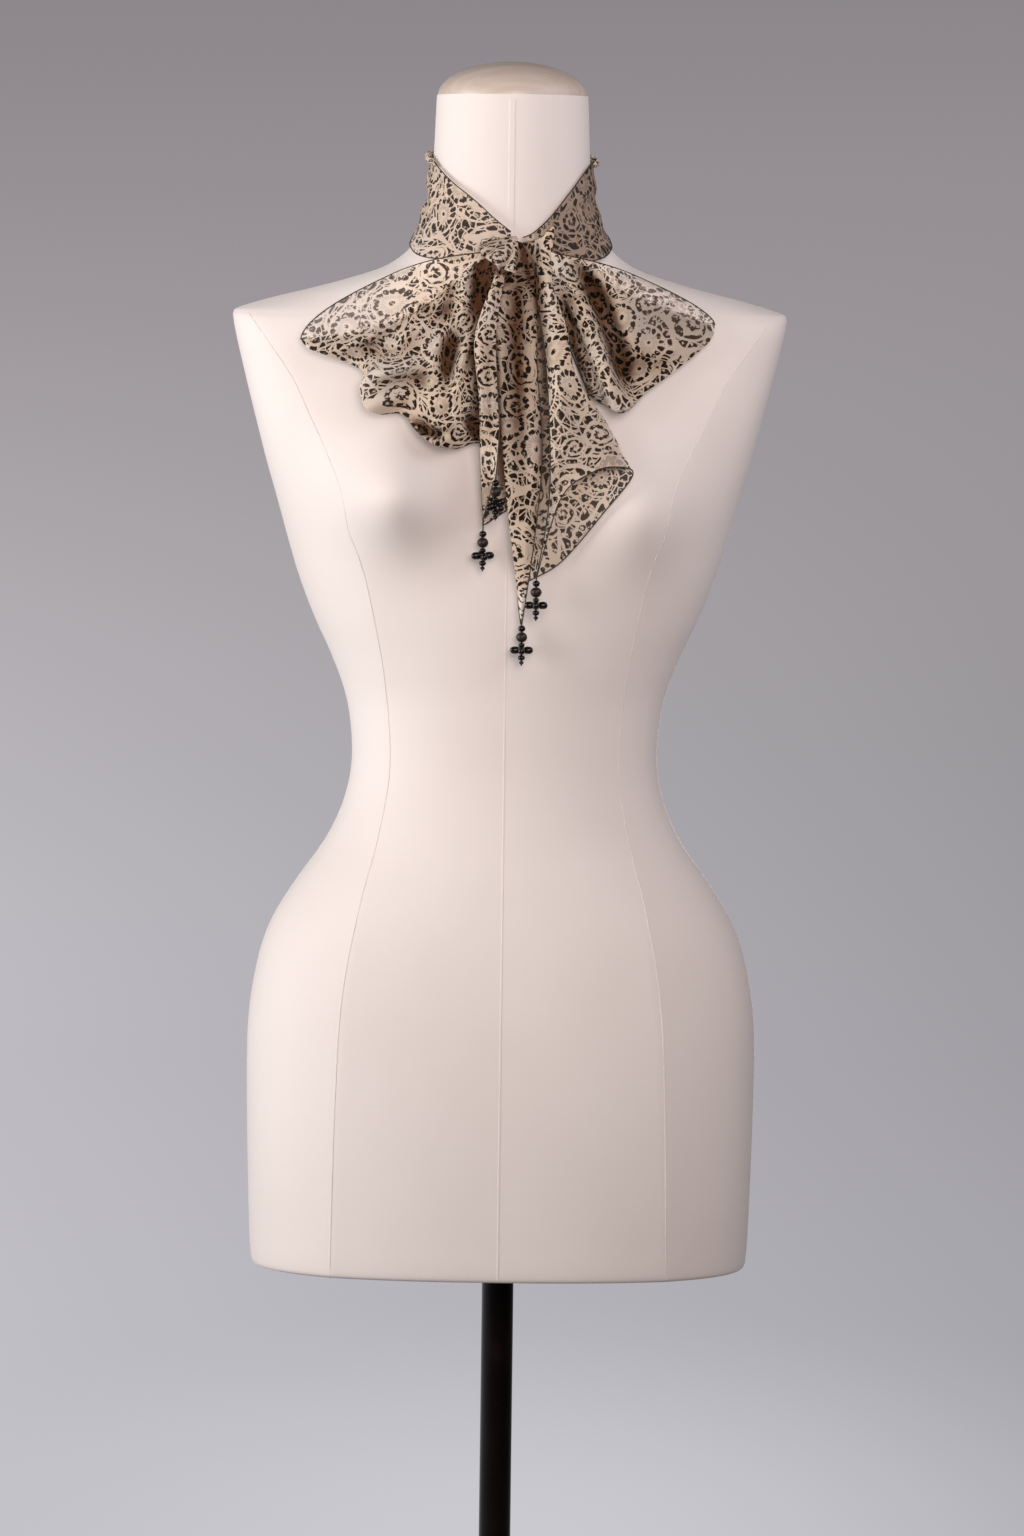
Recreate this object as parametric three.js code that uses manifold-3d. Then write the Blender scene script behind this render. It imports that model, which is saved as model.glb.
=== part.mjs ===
// A printed chiffon cravat tied in a soft bow round the neck of a limbless dress form on its stand.
// Millimetres, +Z up, the origin under the middle of the round base. The front faces -Y, and left and
// right are as seen from the front, so left is -X.
import * as THREE from "three";
import { mergeVertices } from "three/addons/utils/BufferGeometryUtils.js";
import Module from "manifold-3d";

const wasm = await Module();
wasm.setup();

// Driving sizes of the stand, the form and the cloth.
const seamGap = 0.3;
const baseRadius = 175;
const baseThickness = 14;
const poleRadius = 11;
const formBottom = 710;
const neckTop = 1515;
const capRadius = 51.5;
const capHeight = 26;
const clothThickness = 1.1;
const clothClearance = 1.4; // from the form's surface to the middle of the cloth
const foldReach = 15; // how far the loops' front layers stand off beside the knot, where the folds run out

// Level cuts of the form, from the bottom up. A cut is a superellipse round the pole: squareness 2 is an
// ellipse, and more has flatter sides.
const formSections = [
  { height: 710, halfWidth: 163, front: 98, back: 103, squareness: 2.3 },
  { height: 716, halfWidth: 170, front: 103, back: 109, squareness: 2.3 },
  { height: 730, halfWidth: 172.5, front: 105, back: 111, squareness: 2.3 },
  { height: 770, halfWidth: 174, front: 106, back: 114, squareness: 2.3 },
  { height: 826, halfWidth: 175.3, front: 106, back: 119, squareness: 2.3 },
  { height: 880, halfWidth: 174.8, front: 103, back: 121, squareness: 2.3 },
  { height: 922, halfWidth: 168.4, front: 99, back: 118, squareness: 2.2 },
  { height: 950, halfWidth: 158.7, front: 95, back: 111, squareness: 2.2 },
  { height: 978, halfWidth: 141.5, front: 89, back: 102, squareness: 2.1 },
  { height: 1005, halfWidth: 122.5, front: 83, back: 92, squareness: 2.1 },
  { height: 1033, halfWidth: 110, front: 79, back: 84, squareness: 2.1 },
  { height: 1063, halfWidth: 105, front: 77, back: 79, squareness: 2.1 },
  { height: 1100, halfWidth: 108.7, front: 79, back: 78, squareness: 2.1 },
  { height: 1130, halfWidth: 119, front: 83, back: 80, squareness: 2.2 },
  { height: 1157, halfWidth: 131.5, front: 87, back: 84, squareness: 2.3 },
  { height: 1185, halfWidth: 142.5, front: 90, back: 88, squareness: 2.4 },
  { height: 1212, halfWidth: 150.8, front: 91, back: 91, squareness: 2.5 },
  { height: 1240, halfWidth: 158.7, front: 89, back: 93, squareness: 2.6 },
  { height: 1267, halfWidth: 166.6, front: 84, back: 93, squareness: 2.8 },
  { height: 1295, halfWidth: 173.9, front: 77, back: 91, squareness: 3 },
  { height: 1322, halfWidth: 180.8, front: 69, back: 87, squareness: 3.2 },
  { height: 1348, halfWidth: 188, front: 61, back: 80, squareness: 3.4 },
  { height: 1362, halfWidth: 190.8, front: 56, back: 74, squareness: 3.1 },
  { height: 1370, halfWidth: 185, front: 53, back: 70, squareness: 2.7 },
  { height: 1377, halfWidth: 163, front: 51, back: 67, squareness: 2.4 },
  { height: 1385, halfWidth: 138, front: 50.5, back: 64, squareness: 2.3 },
  { height: 1392, halfWidth: 119, front: 51, back: 61, squareness: 2.2 },
  { height: 1399, halfWidth: 99.5, front: 52, back: 59.5, squareness: 2.1 },
  { height: 1406, halfWidth: 83.5, front: 53, back: 58.5, squareness: 2 },
  { height: 1414, halfWidth: 72, front: 53.5, back: 57.5, squareness: 2 },
  { height: 1425, halfWidth: 63, front: 54, back: 56.5, squareness: 2 },
  { height: 1442, halfWidth: 57, front: 54, back: 55.5, squareness: 2 },
  { height: 1472, halfWidth: 54, front: 53.5, back: 54, squareness: 2 },
  { height: neckTop, halfWidth: 52.2, front: 52.2, back: 52.2, squareness: 2 },
];
const bust = { height: 1236, apart: 84, forward: 26, spread: 37, rise: 31 };

// The chiffon's turn round the neck, from its left end at the throat, round the back, to its right end.
// The angle is 0 at the front and grows to the left. A gap is from the neck out to the cloth.
const bandStations = [
  { angle: 5, top: 1414, bottom: 1405, topGap: 5.2, bottomGap: 5.2 },
  { angle: 15, top: 1422, bottom: 1407.5, topGap: 6, bottomGap: 9 },
  { angle: 31, top: 1441, bottom: 1405, topGap: 5, bottomGap: 13 },
  { angle: 52, top: 1462, bottom: 1406, topGap: 3.5, bottomGap: 12 },
  { angle: 70, top: 1472, bottom: 1414, topGap: 3, bottomGap: 6 },
  { angle: 92, top: 1477, bottom: 1423, topGap: 2.8, bottomGap: 4 },
  { angle: 135, top: 1482, bottom: 1427, topGap: 3, bottomGap: 5 },
  { angle: 180, top: 1484, bottom: 1429, topGap: 3, bottomGap: 6 },
  { angle: 225, top: 1481, bottom: 1427, topGap: 3, bottomGap: 5 },
  { angle: 268, top: 1473, bottom: 1423, topGap: 2.8, bottomGap: 4 },
  { angle: 290, top: 1468, bottom: 1414, topGap: 3, bottomGap: 6 },
  { angle: 308, top: 1457, bottom: 1406, topGap: 3.5, bottomGap: 12 },
  { angle: 327, top: 1437, bottom: 1404.5, topGap: 5, bottomGap: 14 },
  { angle: 340, top: 1422, bottom: 1407.5, topGap: 6, bottomGap: 9 },
  { angle: 349, top: 1414, bottom: 1405, topGap: 5.2, bottomGap: 5.2 },
];
const bandRolls = { count: 2.5, depth: 1.5, slant: 3 };

const knotShape = {
  center: [8, -71, 1407],
  half: [21.5, 11, 15],
  squareness: 3,
  ridges: 7,
  ridgeDepth: 1.8,
};

// A bow loop is a stretch of the strip that leaves the knot behind, turns at the loop's outer fold and comes
// back in front. Each row is one line along the strip, from the top hem to the bottom hem. outX and outZ are
// where it turns, from the knot; rise bends it upwards on its way, behind and in front. The rest is how far
// it stands off the form: behind, at the turn, and in front far from the knot and near it.
const loops = {
  loop_left: {
    side: -1,
    gather: { depth: -61, top: 1405.5, bottom: 1394.5, back: 3.5, front: 11.5 },
    lines: [
      { outX: 142, outZ: 1349.5, riseBack: 17, riseFront: -2, back: 3, turn: 7.5, far: 12, near: 11 },
      { outX: 137, outZ: 1343.5, riseBack: 13, riseFront: -5, back: 3, turn: 10, far: 17, near: 15 },
      { outX: 123, outZ: 1338.5, riseBack: 8, riseFront: -3, back: 3, turn: 10, far: 18, near: 20 },
      { outX: 109, outZ: 1333.5, riseBack: 4, riseFront: 0, back: 3, turn: 7.5, far: 12, near: 14 },
      { outX: 98, outZ: 1327, riseBack: 2, riseFront: 2, back: 3, turn: 8.5, far: 14, near: 17 },
      { outX: 101.5, outZ: 1318.5, riseBack: 1, riseFront: 3, back: 3, turn: 13, far: 22, near: 20 },
      { outX: 100, outZ: 1309, riseBack: 0, riseFront: 2, back: 3, turn: 14, far: 25, near: 15 },
      { outX: 88, outZ: 1301.5, riseBack: 0, riseFront: 0, back: 3, turn: 10, far: 18, near: 18 },
      { outX: 73, outZ: 1298.5, riseBack: 0, riseFront: 0, back: 3, turn: 7.5, far: 12, near: 23 },
      { outX: 60, outZ: 1289, riseBack: -2, riseFront: 0, back: 3, turn: 13, far: 23, near: 16 },
      { outX: 49, outZ: 1279.5, riseBack: -2, riseFront: 0, back: 3, turn: 16, far: 29, near: 22 },
      { outX: 35, outZ: 1277, riseBack: -3, riseFront: 0, back: 3, turn: 12, far: 22, near: 18 },
      { outX: 24, outZ: 1281, riseBack: -3, riseFront: 0, back: 3, turn: 7.5, far: 12, near: 11 },
      { outX: 15, outZ: 1280, riseBack: -3, riseFront: 0, back: 3, turn: 7.5, far: 11, near: 9.5 },
    ],
  },
  loop_right: {
    side: 1,
    gather: { depth: -61, top: 1405.5, bottom: 1394.5, back: 3.5, front: 11.5 },
    lines: [
      { outX: 139.6, outZ: 1363, riseBack: 10, riseFront: -14, back: 3, turn: 7.5, far: 12, near: 11 },
      { outX: 138, outZ: 1354, riseBack: 8, riseFront: -14, back: 3, turn: 9, far: 15, near: 13 },
      { outX: 129.5, outZ: 1345, riseBack: 5, riseFront: -12, back: 3, turn: 9, far: 15, near: 11 },
      { outX: 116, outZ: 1334, riseBack: 3, riseFront: -8, back: 3, turn: 8, far: 13, near: 10 },
      { outX: 102.5, outZ: 1323.5, riseBack: 2, riseFront: -4, back: 3, turn: 8, far: 12, near: 10 },
      { outX: 91, outZ: 1314.5, riseBack: 0, riseFront: 2, back: 3, turn: 9, far: 14, near: 16 },
      { outX: 82, outZ: 1304.5, riseBack: 0, riseFront: 5, back: 3, turn: 13, far: 24, near: 24 },
      { outX: 73, outZ: 1302.5, riseBack: 0, riseFront: 5, back: 3, turn: 13, far: 25, near: 24 },
      { outX: 66, outZ: 1307, riseBack: 0, riseFront: 4, back: 3, turn: 8.5, far: 16, near: 15 },
      { outX: 59.5, outZ: 1310, riseBack: 1, riseFront: 4, back: 3, turn: 7.5, far: 12, near: 13 },
      { outX: 54, outZ: 1314, riseBack: 2, riseFront: 4, back: 3, turn: 7, far: 11, near: 11 },
    ],
  },
};

// A hanging end is folded on itself in plan. Each row is one line down the cloth, from one side hem to the
// other: x at the knot and at each quarter of its length, the length, and how far it stands off the form.
const tails = {
  tail_front: {
    lines: [
      { x: [10, 17, 23, 22, 11.5], length: 218, off: [15, 17, 15, 13, 8] },
      { x: [6, 9, 15, 15, 10.5], length: 216, off: [17, 20, 19, 16, 9] },
      { x: [1, -4, -1, 1, 8.5], length: 212, off: [14, 17, 16, 13, 6] },
      { x: [6, 4, 8, 12, 13], length: 203, off: [9, 9, 9, 8, 4] },
      { x: [12, 18, 24, 29, 37], length: 182, off: [8, 8, 9, 7, 4] },
      { x: [17, 28, 37, 52, 66], length: 150, off: [12, 11, 13, 9, 5] },
      { x: [23, 35, 42.5, 66, 84.5], length: 130, off: [17, 17, 18, 13, 10] },
      { x: [23.5, 36, 44, 62, 73], length: 125, off: [22, 24, 24, 20, 16] },
      { x: [22, 33, 42, 51, 57], length: 129, off: [22, 27, 27, 22, 18] },
      { x: [20, 28, 36, 41, 41], length: 152, off: [21, 26, 27, 22, 17] },
      { x: [18, 25, 28, 29, 21], length: 201, off: [19, 24, 24, 20, 15] },
    ],
  },
  tail_back: {
    lines: [
      { x: [-3, -9, -8, -6, -8], length: 134, off: [27, 27, 24, 23, 23] },
      { x: [-6, -15, -13, -11, -10], length: 138, off: [29, 31, 28, 23, 17] },
      { x: [-9, -23, -19, -16, -13], length: 150, off: [28, 28, 24, 20, 14] },
      { x: [-9, -22, -19.5, -18.5, -16.3], length: 165, off: [25, 22, 20, 15, 8.5] },
      { x: [-6, -15, -13, -12, -11], length: 160, off: [23, 19, 16, 10, 4.5] },
      { x: [-3, -9, -8, -6, -4], length: 152, off: [22, 18, 15, 9, 4] },
    ],
  },
};

// The bead drops: the line of the tail that each hangs from, at its lower end, and the bare thread over the
// beads. The beads are listed from the top down.
const drops = {
  drop_front_inner: { tail: "tail_front", line: 0, thread: 13 },
  drop_front_outer: { tail: "tail_front", line: 10, thread: 4 },
  drop_back_inner: { tail: "tail_back", line: 0, thread: 3 },
  drop_back_outer: { tail: "tail_back", line: 3, thread: 4 },
};
const threadRadius = 0.6;
const dropBeads = [
  { radius: 2.3, height: 4.2 },
  { radius: 3.5, height: 6.6 },
  { radius: 1.7, height: 2.4 },
  { radius: 2.3, height: 4.6 },
  { radius: 1.9, height: 3.2 },
  { radius: 1.4, height: 2.2 },
];
const petal = { bead: 3, length: 6.6, halfWidth: 1.9, reach: 4.3 };

// Reads a smooth curve through a row of numbers at t from 0 to 1.
function smooth(values, t) {
  const place = Math.min(Math.max(t, 0), 1) * (values.length - 1);
  const i = Math.min(Math.floor(place), values.length - 2);
  const f = place - i;
  const at = (k) => values[Math.min(Math.max(k, 0), values.length - 1)];
  const [a, b, c, d] = [at(i - 1), at(i), at(i + 1), at(i + 2)];
  return 0.5 * (2 * b + (c - a) * f + (2 * a - 5 * b + 4 * c - d) * f * f + (3 * b - a - 3 * c + d) * f ** 3);
}

const lerp = THREE.MathUtils.lerp;

// The form's cut at any height, between two rows of formSections.
function formSection(height) {
  const last = formSections.length - 1;
  const above = formSections.findIndex((s) => s.height > height);
  const hi = above < 0 ? last : Math.max(above, 1);
  const [low, high] = [formSections[hi - 1], formSections[hi]];
  const f = Math.min(Math.max((height - low.height) / (high.height - low.height), 0), 1);
  const mixed = {};
  for (const size of ["halfWidth", "front", "back", "squareness"]) mixed[size] = lerp(low[size], high[size], f);
  return mixed;
}

// How far the bust stands forward of the plain cut at a point of the front.
function bustAt(x, height) {
  const across = (Math.abs(x) - bust.apart) / bust.spread;
  const up = (height - bust.height) / bust.rise;
  return bust.forward * Math.exp(-0.5 * (across * across + up * up));
}

// The Y of the form's front surface.
function formFront(x, height) {
  const cut = formSection(height);
  const share = Math.min(Math.abs(x) / cut.halfWidth, 1);
  const depth = cut.front * (1 - share ** cut.squareness) ** (1 / cut.squareness);
  return -depth - bustAt(x, height) * (depth / cut.front);
}

// Moves a point of cloth forward until it is clear of the form.
function clearOfForm(point) {
  point.y = Math.min(point.y, formFront(point.x, point.z) - clothClearance);
  return point;
}

// A closed body from rings of points that all have the same count, with flat ends.
function ringBody(rings) {
  const count = rings[0].length;
  const positions = rings.flat().flatMap((p) => [p.x, p.y, p.z]);
  const faces = [];
  for (let r = 0; r + 1 < rings.length; r++)
    for (let i = 0; i < count; i++) {
      const [a, b] = [r * count + i, r * count + ((i + 1) % count)];
      faces.push(a, b, b + count, a, b + count, a + count);
    }
  for (const [ring, turn] of [[0, true], [rings.length - 1, false]]) {
    const start = ring * count;
    for (let i = 1; i + 1 < count; i++)
      faces.push(start, ...(turn ? [start + i + 1, start + i] : [start + i, start + i + 1]));
  }
  return geometryOf(positions, faces);
}

// A closed wall of even thickness round a middle surface, whose point(across, along) takes 0 to 1 twice.
function clothWall(point, acrossSteps, alongSteps, thickness = clothThickness) {
  const middle = [];
  for (let a = 0; a <= acrossSteps; a++) {
    middle.push([]);
    for (let s = 0; s <= alongSteps; s++) middle[a].push(point(a / acrossSteps, s / alongSteps));
  }
  const positions = [];
  const index = (a, s, layer) => 2 * (a * (alongSteps + 1) + s) + layer;
  for (let a = 0; a <= acrossSteps; a++)
    for (let s = 0; s <= alongSteps; s++) {
      const acrossWay = middle[Math.min(a + 1, acrossSteps)][s].clone().sub(middle[Math.max(a - 1, 0)][s]);
      const alongWay = middle[a][Math.min(s + 1, alongSteps)].clone().sub(middle[a][Math.max(s - 1, 0)]);
      const out = acrossWay.cross(alongWay).normalize().multiplyScalar(thickness / 2);
      for (const sign of [1, -1]) {
        const p = middle[a][s].clone().addScaledVector(out, sign);
        positions.push(p.x, p.y, p.z);
      }
    }
  const faces = [];
  const corner = (i) => new THREE.Vector3().fromArray(positions, 3 * i);
  const quad = (a, b, c, d) => {
    const firstShorter = corner(a).distanceTo(corner(c)) <= corner(b).distanceTo(corner(d));
    faces.push(...(firstShorter ? [a, b, c, a, c, d] : [a, b, d, b, c, d]));
  };
  for (let a = 0; a < acrossSteps; a++)
    for (let s = 0; s < alongSteps; s++) {
      quad(index(a, s, 0), index(a + 1, s, 0), index(a + 1, s + 1, 0), index(a, s + 1, 0));
      quad(index(a, s, 1), index(a, s + 1, 1), index(a + 1, s + 1, 1), index(a + 1, s, 1));
    }
  for (let a = 0; a < acrossSteps; a++) {
    quad(index(a, 0, 0), index(a, 0, 1), index(a + 1, 0, 1), index(a + 1, 0, 0));
    quad(index(a, alongSteps, 0), index(a + 1, alongSteps, 0), index(a + 1, alongSteps, 1), index(a, alongSteps, 1));
  }
  for (let s = 0; s < alongSteps; s++) {
    quad(index(0, s, 0), index(0, s + 1, 0), index(0, s + 1, 1), index(0, s, 1));
    quad(index(acrossSteps, s, 0), index(acrossSteps, s, 1), index(acrossSteps, s + 1, 1), index(acrossSteps, s + 1, 0));
  }
  return geometryOf(positions, faces);
}

function geometryOf(positions, faces) {
  const geometry = new THREE.BufferGeometry();
  geometry.setAttribute("position", new THREE.Float32BufferAttribute(positions, 3));
  geometry.setIndex(faces);
  geometry.computeVertexNormals();
  return geometry;
}

// Joins closed shapes that overlap into one solid.
function joined(geometries) {
  const solids = geometries.map((g) => {
    g.deleteAttribute("normal");
    if (g.getAttribute("uv")) g.deleteAttribute("uv");
    const merged = mergeVertices(g, 1e-4);
    const mesh = new wasm.Mesh({
      numProp: 3,
      vertProperties: new Float32Array(merged.attributes.position.array),
      triVerts: new Uint32Array(merged.index.array),
    });
    return new wasm.Manifold(mesh);
  });
  const whole = solids.reduce((a, b) => a.add(b)).getMesh();
  return geometryOf(Array.from(whole.vertProperties), Array.from(whole.triVerts));
}

function formTorso() {
  const sides = 32;
  const rings = formSections.map((cut) => {
    const ring = [];
    for (let i = 0; i < sides; i++) {
      const turn = (2 * Math.PI * i) / sides;
      const power = 2 / cut.squareness;
      const x = cut.halfWidth * Math.sign(Math.cos(turn)) * Math.abs(Math.cos(turn)) ** power;
      const share = Math.sign(Math.sin(turn)) * Math.abs(Math.sin(turn)) ** power;
      const y = share < 0 ? (cut.front + bustAt(x, cut.height)) * share : cut.back * share;
      ring.push(new THREE.Vector3(x, y, cut.height));
    }
    return ring;
  });
  return ringBody(rings);
}

// The domed cap that closes the neck.
function formCap() {
  const rim = 2;
  const profile = [new THREE.Vector2(0, 0), new THREE.Vector2(capRadius, 0)];
  const steps = 7;
  for (let i = 0; i <= steps; i++) {
    const turn = (Math.PI / 2) * (i / steps);
    const height = rim + (capHeight - rim) * Math.sin(turn);
    profile.push(new THREE.Vector2(i === steps ? 0 : capRadius * Math.cos(turn), height));
  }
  return new THREE.LatheGeometry(profile, 32).rotateX(Math.PI / 2);
}

function standPole() {
  const length = formBottom - baseThickness - 2 * seamGap;
  return new THREE.CylinderGeometry(poleRadius, poleRadius, length, 24).rotateX(Math.PI / 2);
}

function standBase() {
  const profile = [
    new THREE.Vector2(0, 0),
    new THREE.Vector2(baseRadius, 0),
    new THREE.Vector2(baseRadius, 6),
    new THREE.Vector2(baseRadius - 5, 9),
    new THREE.Vector2(26, baseThickness),
    new THREE.Vector2(0, baseThickness),
  ];
  return new THREE.LatheGeometry(profile, 48).rotateX(Math.PI / 2);
}

// The band's middle surface: across from the top edge to the bottom edge, along round the neck.
function bandPoint(across, along) {
  const read = (column) => smooth(bandStations.map((s) => s[column]), along);
  const turn = (read("angle") * Math.PI) / 180;
  const height = lerp(read("top"), read("bottom"), across);
  const roll = Math.sin(Math.PI * (2 * bandRolls.count * across + bandRolls.slant * Math.sin(turn)));
  const settled = Math.sin(Math.PI * across) * ((read("top") - read("bottom")) / 55);
  const gap = lerp(read("topGap"), read("bottomGap"), across ** 1.6) + bandRolls.depth * roll * settled;
  const cut = formSection(height);
  const [sx, sy] = [-Math.sin(turn), -Math.cos(turn)];
  const depth = sy < 0 ? cut.front : cut.back;
  const radius = 1 / Math.hypot(sx / cut.halfWidth, sy / depth);
  return new THREE.Vector3(sx, sy, 0).multiplyScalar(radius + Math.max(gap, clothClearance + 0.4)).setZ(height);
}

// One solid for the knot: its hidden turns share it, and its outside is ridged where the cloth is gathered.
function knot() {
  const [rounds, sides] = [14, 28];
  const rings = [];
  const { center, half, squareness, ridges, ridgeDepth } = knotShape;
  const power = 2 / squareness;
  const bend = (v) => Math.sign(v) * Math.abs(v) ** power;
  for (let r = 0; r < rounds; r++) {
    const up = Math.PI * ((r + 0.5) / rounds - 0.5);
    const ring = [];
    for (let i = 0; i < sides; i++) {
      const turn = (2 * Math.PI * i) / sides;
      const front = Math.max(0, -Math.sin(turn));
      const ridge = ridgeDepth * front * Math.cos(ridges * turn + 2.2 * up) * Math.cos(up);
      const x = center[0] + half[0] * bend(Math.cos(turn)) * bend(Math.cos(up));
      const y = center[1] + (half[1] + ridge) * bend(Math.sin(turn)) * bend(Math.cos(up));
      ring.push(new THREE.Vector3(x, y, center[2] + half[2] * bend(Math.sin(up))));
    }
    rings.push(ring);
  }
  return ringBody(rings);
}

// Where cloth that comes out of the knot's side starts, a seam's gap off its surface.
function knotSide(side, y, z) {
  const { center, half, squareness } = knotShape;
  const share = Math.abs((y - center[1]) / half[1]) ** squareness + Math.abs((z - center[2]) / half[2]) ** squareness;
  return center[0] + side * (half[0] * Math.max(1 - share, 0) ** (1 / squareness) + seamGap + clothThickness / 2);
}

// A loop's middle surface: across from the top hem to the bottom hem, along from the knot behind, out to the
// fold and back to the knot in front.
function loopPoint(loop, across, along) {
  const { side, gather, lines } = loop;
  const read = (column) => smooth(lines.map((line) => line[column]), across);
  const inFront = along >= 0.5;
  const reach = inFront ? 2 - 2 * along : 2 * along;
  const ease = Math.sin((Math.PI / 2) * reach) ** 1.15;
  const startZ = lerp(gather.top, gather.bottom, across);
  const startOff = inFront ? gather.front : gather.back;
  const startX = knotSide(side, gather.depth - startOff, startZ);
  const x = lerp(startX, side * read("outX"), ease);
  const z = lerp(startZ, read("outZ"), ease) + read(inFront ? "riseFront" : "riseBack") * Math.sin(Math.PI * ease);
  const middle = inFront ? [read("near"), read("far")] : [read("back"), read("back")];
  const plain = inFront ? foldReach : read("back");
  const off = lerp(
    smooth([startOff, plain, plain, read("turn")], reach),
    smooth([startOff, ...middle, read("turn")], reach),
    THREE.MathUtils.smoothstep(reach, 0.08, 0.7),
  );
  const rest = lerp(gather.depth, formFront(x, z), THREE.MathUtils.smoothstep(reach, 0, 0.45));
  return clearOfForm(new THREE.Vector3(x, rest - off, z));
}

// A hanging end's middle surface: across from one side hem to the other, down from the knot to the end hem.
function tailPoint(tail, across, down) {
  const x = smooth([0, 1, 2, 3, 4].map((k) => smooth(tail.lines.map((line) => line.x[k]), across)), down);
  const off = smooth([0, 1, 2, 3, 4].map((k) => smooth(tail.lines.map((line) => line.off[k]), across)), down);
  const length = smooth(tail.lines.map((line) => line.length), across);
  const top = knotShape.center[2] - knotShape.half[2] - seamGap;
  const z = top - length * down;
  return clearOfForm(new THREE.Vector3(x, formFront(x, z) - off, z));
}

// A thread with its beads and the cross bead's four petals, hanging from a corner of the cloth.
function beadDrop(thread) {
  const profile = [new THREE.Vector2(0, 0), new THREE.Vector2(threadRadius, 0)];
  let height = -thread;
  let crossHeight = 0;
  dropBeads.forEach((bead, n) => {
    if (n === petal.bead) crossHeight = height - bead.height / 2;
    const steps = 4;
    for (let i = 0; i <= steps; i++) {
      const turn = Math.PI * (i / steps);
      const radius = Math.max(bead.radius * Math.sin(turn), threadRadius);
      profile.push(new THREE.Vector2(radius, height - (bead.height / 2) * (1 - Math.cos(turn))));
    }
    height -= bead.height + 0.1;
  });
  profile.push(new THREE.Vector2(0, profile[profile.length - 1].y));
  const strung = new THREE.LatheGeometry(profile.reverse(), 8).rotateX(Math.PI / 2);
  const petals = [0, 1, 2, 3].map((k) => {
    const one = new THREE.SphereGeometry(1, 6, 5);
    one.scale(petal.length / 2, petal.halfWidth, petal.halfWidth);
    return one.translate(petal.reach, 0, crossHeight).rotateZ((k * Math.PI) / 2);
  });
  return joined([strung, ...petals]);
}

const materials = {
  jersey: new THREE.MeshStandardMaterial({ color: 0xe9dfd8, roughness: 0.75, metalness: 0 }),
  cap: new THREE.MeshStandardMaterial({ color: 0xe0d6c8, roughness: 0.6, metalness: 0 }),
  pole: new THREE.MeshStandardMaterial({ color: 0x120d0b, roughness: 0.3, metalness: 0.6 }),
  chiffon: new THREE.MeshStandardMaterial({ color: 0xb9a48f, roughness: 0.8, metalness: 0, side: THREE.DoubleSide }),
  bead: new THREE.MeshStandardMaterial({ color: 0x14100e, roughness: 0.25, metalness: 0 }),
};

const cravat = new THREE.Group();
function add(name, geometry, material, place = [0, 0, 0]) {
  const mesh = new THREE.Mesh(geometry, material);
  mesh.name = name;
  mesh.position.set(...place);
  cravat.add(mesh);
}

add("stand_base", standBase(), materials.pole);
add("stand_pole", standPole(), materials.pole, [0, 0, (formBottom + baseThickness) / 2]);
add("form_torso", formTorso(), materials.jersey);
add("form_cap", formCap(), materials.cap, [0, 0, neckTop + seamGap]);
add("neck_band", clothWall(bandPoint, 8, 44), materials.chiffon);
add("knot", knot(), materials.chiffon);
for (const [name, loop] of Object.entries(loops))
  add(name, clothWall((a, s) => loopPoint(loop, a, s), 2 * (loop.lines.length - 1), 22), materials.chiffon);
for (const [name, tail] of Object.entries(tails))
  add(name, clothWall((a, s) => tailPoint(tail, a, s), 3 * (tail.lines.length - 1), 14), materials.chiffon);
for (const [name, drop] of Object.entries(drops)) {
  const tail = tails[drop.tail];
  const corner = tailPoint(tail, drop.line / (tail.lines.length - 1), 1);
  add(name, beadDrop(drop.thread), materials.bead, [corner.x, corner.y, corner.z - seamGap]);
}

export default cravat;
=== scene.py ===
import math
from functools import partial
import bpy
import bmesh
from mathutils import Matrix, Vector, noise
from mathutils.bvhtree import BVHTree


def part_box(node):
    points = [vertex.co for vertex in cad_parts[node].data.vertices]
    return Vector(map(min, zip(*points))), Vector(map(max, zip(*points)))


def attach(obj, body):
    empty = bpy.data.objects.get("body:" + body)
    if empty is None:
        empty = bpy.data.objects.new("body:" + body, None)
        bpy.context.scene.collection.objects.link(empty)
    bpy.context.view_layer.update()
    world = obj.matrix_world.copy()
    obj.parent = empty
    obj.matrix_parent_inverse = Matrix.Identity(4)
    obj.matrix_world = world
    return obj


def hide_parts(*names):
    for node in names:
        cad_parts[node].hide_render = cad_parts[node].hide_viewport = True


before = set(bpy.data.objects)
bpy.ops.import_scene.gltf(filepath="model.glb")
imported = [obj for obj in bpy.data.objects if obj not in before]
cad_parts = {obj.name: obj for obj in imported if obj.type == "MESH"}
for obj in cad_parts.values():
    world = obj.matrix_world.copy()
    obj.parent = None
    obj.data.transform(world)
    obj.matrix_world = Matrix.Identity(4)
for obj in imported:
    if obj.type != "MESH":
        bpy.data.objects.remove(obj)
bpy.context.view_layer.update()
root = "root"

camera = {
    "lens": 174.0,
    "distance": 5.122,
    "aside": 0.0054,
    "height": 1.396,
    "pitchDown": 3.81,
    "roll": 0.73,  # the photograph is tipped by this much
    "sees": 200,  # metres
}


def makeCamera():
    bpy.ops.object.camera_add(location=(camera["aside"], -camera["distance"], camera["height"]))
    made = bpy.context.object
    tip = Matrix.Rotation(math.radians(90 - camera["pitchDown"]), 4, "X")
    turn = Matrix.Rotation(math.radians(camera["roll"]), 4, "Z")
    made.rotation_euler = (tip @ turn).to_euler()
    made.data.lens = camera["lens"]
    made.data.clip_end = camera["sees"]
    bpy.context.scene.camera = made


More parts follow.
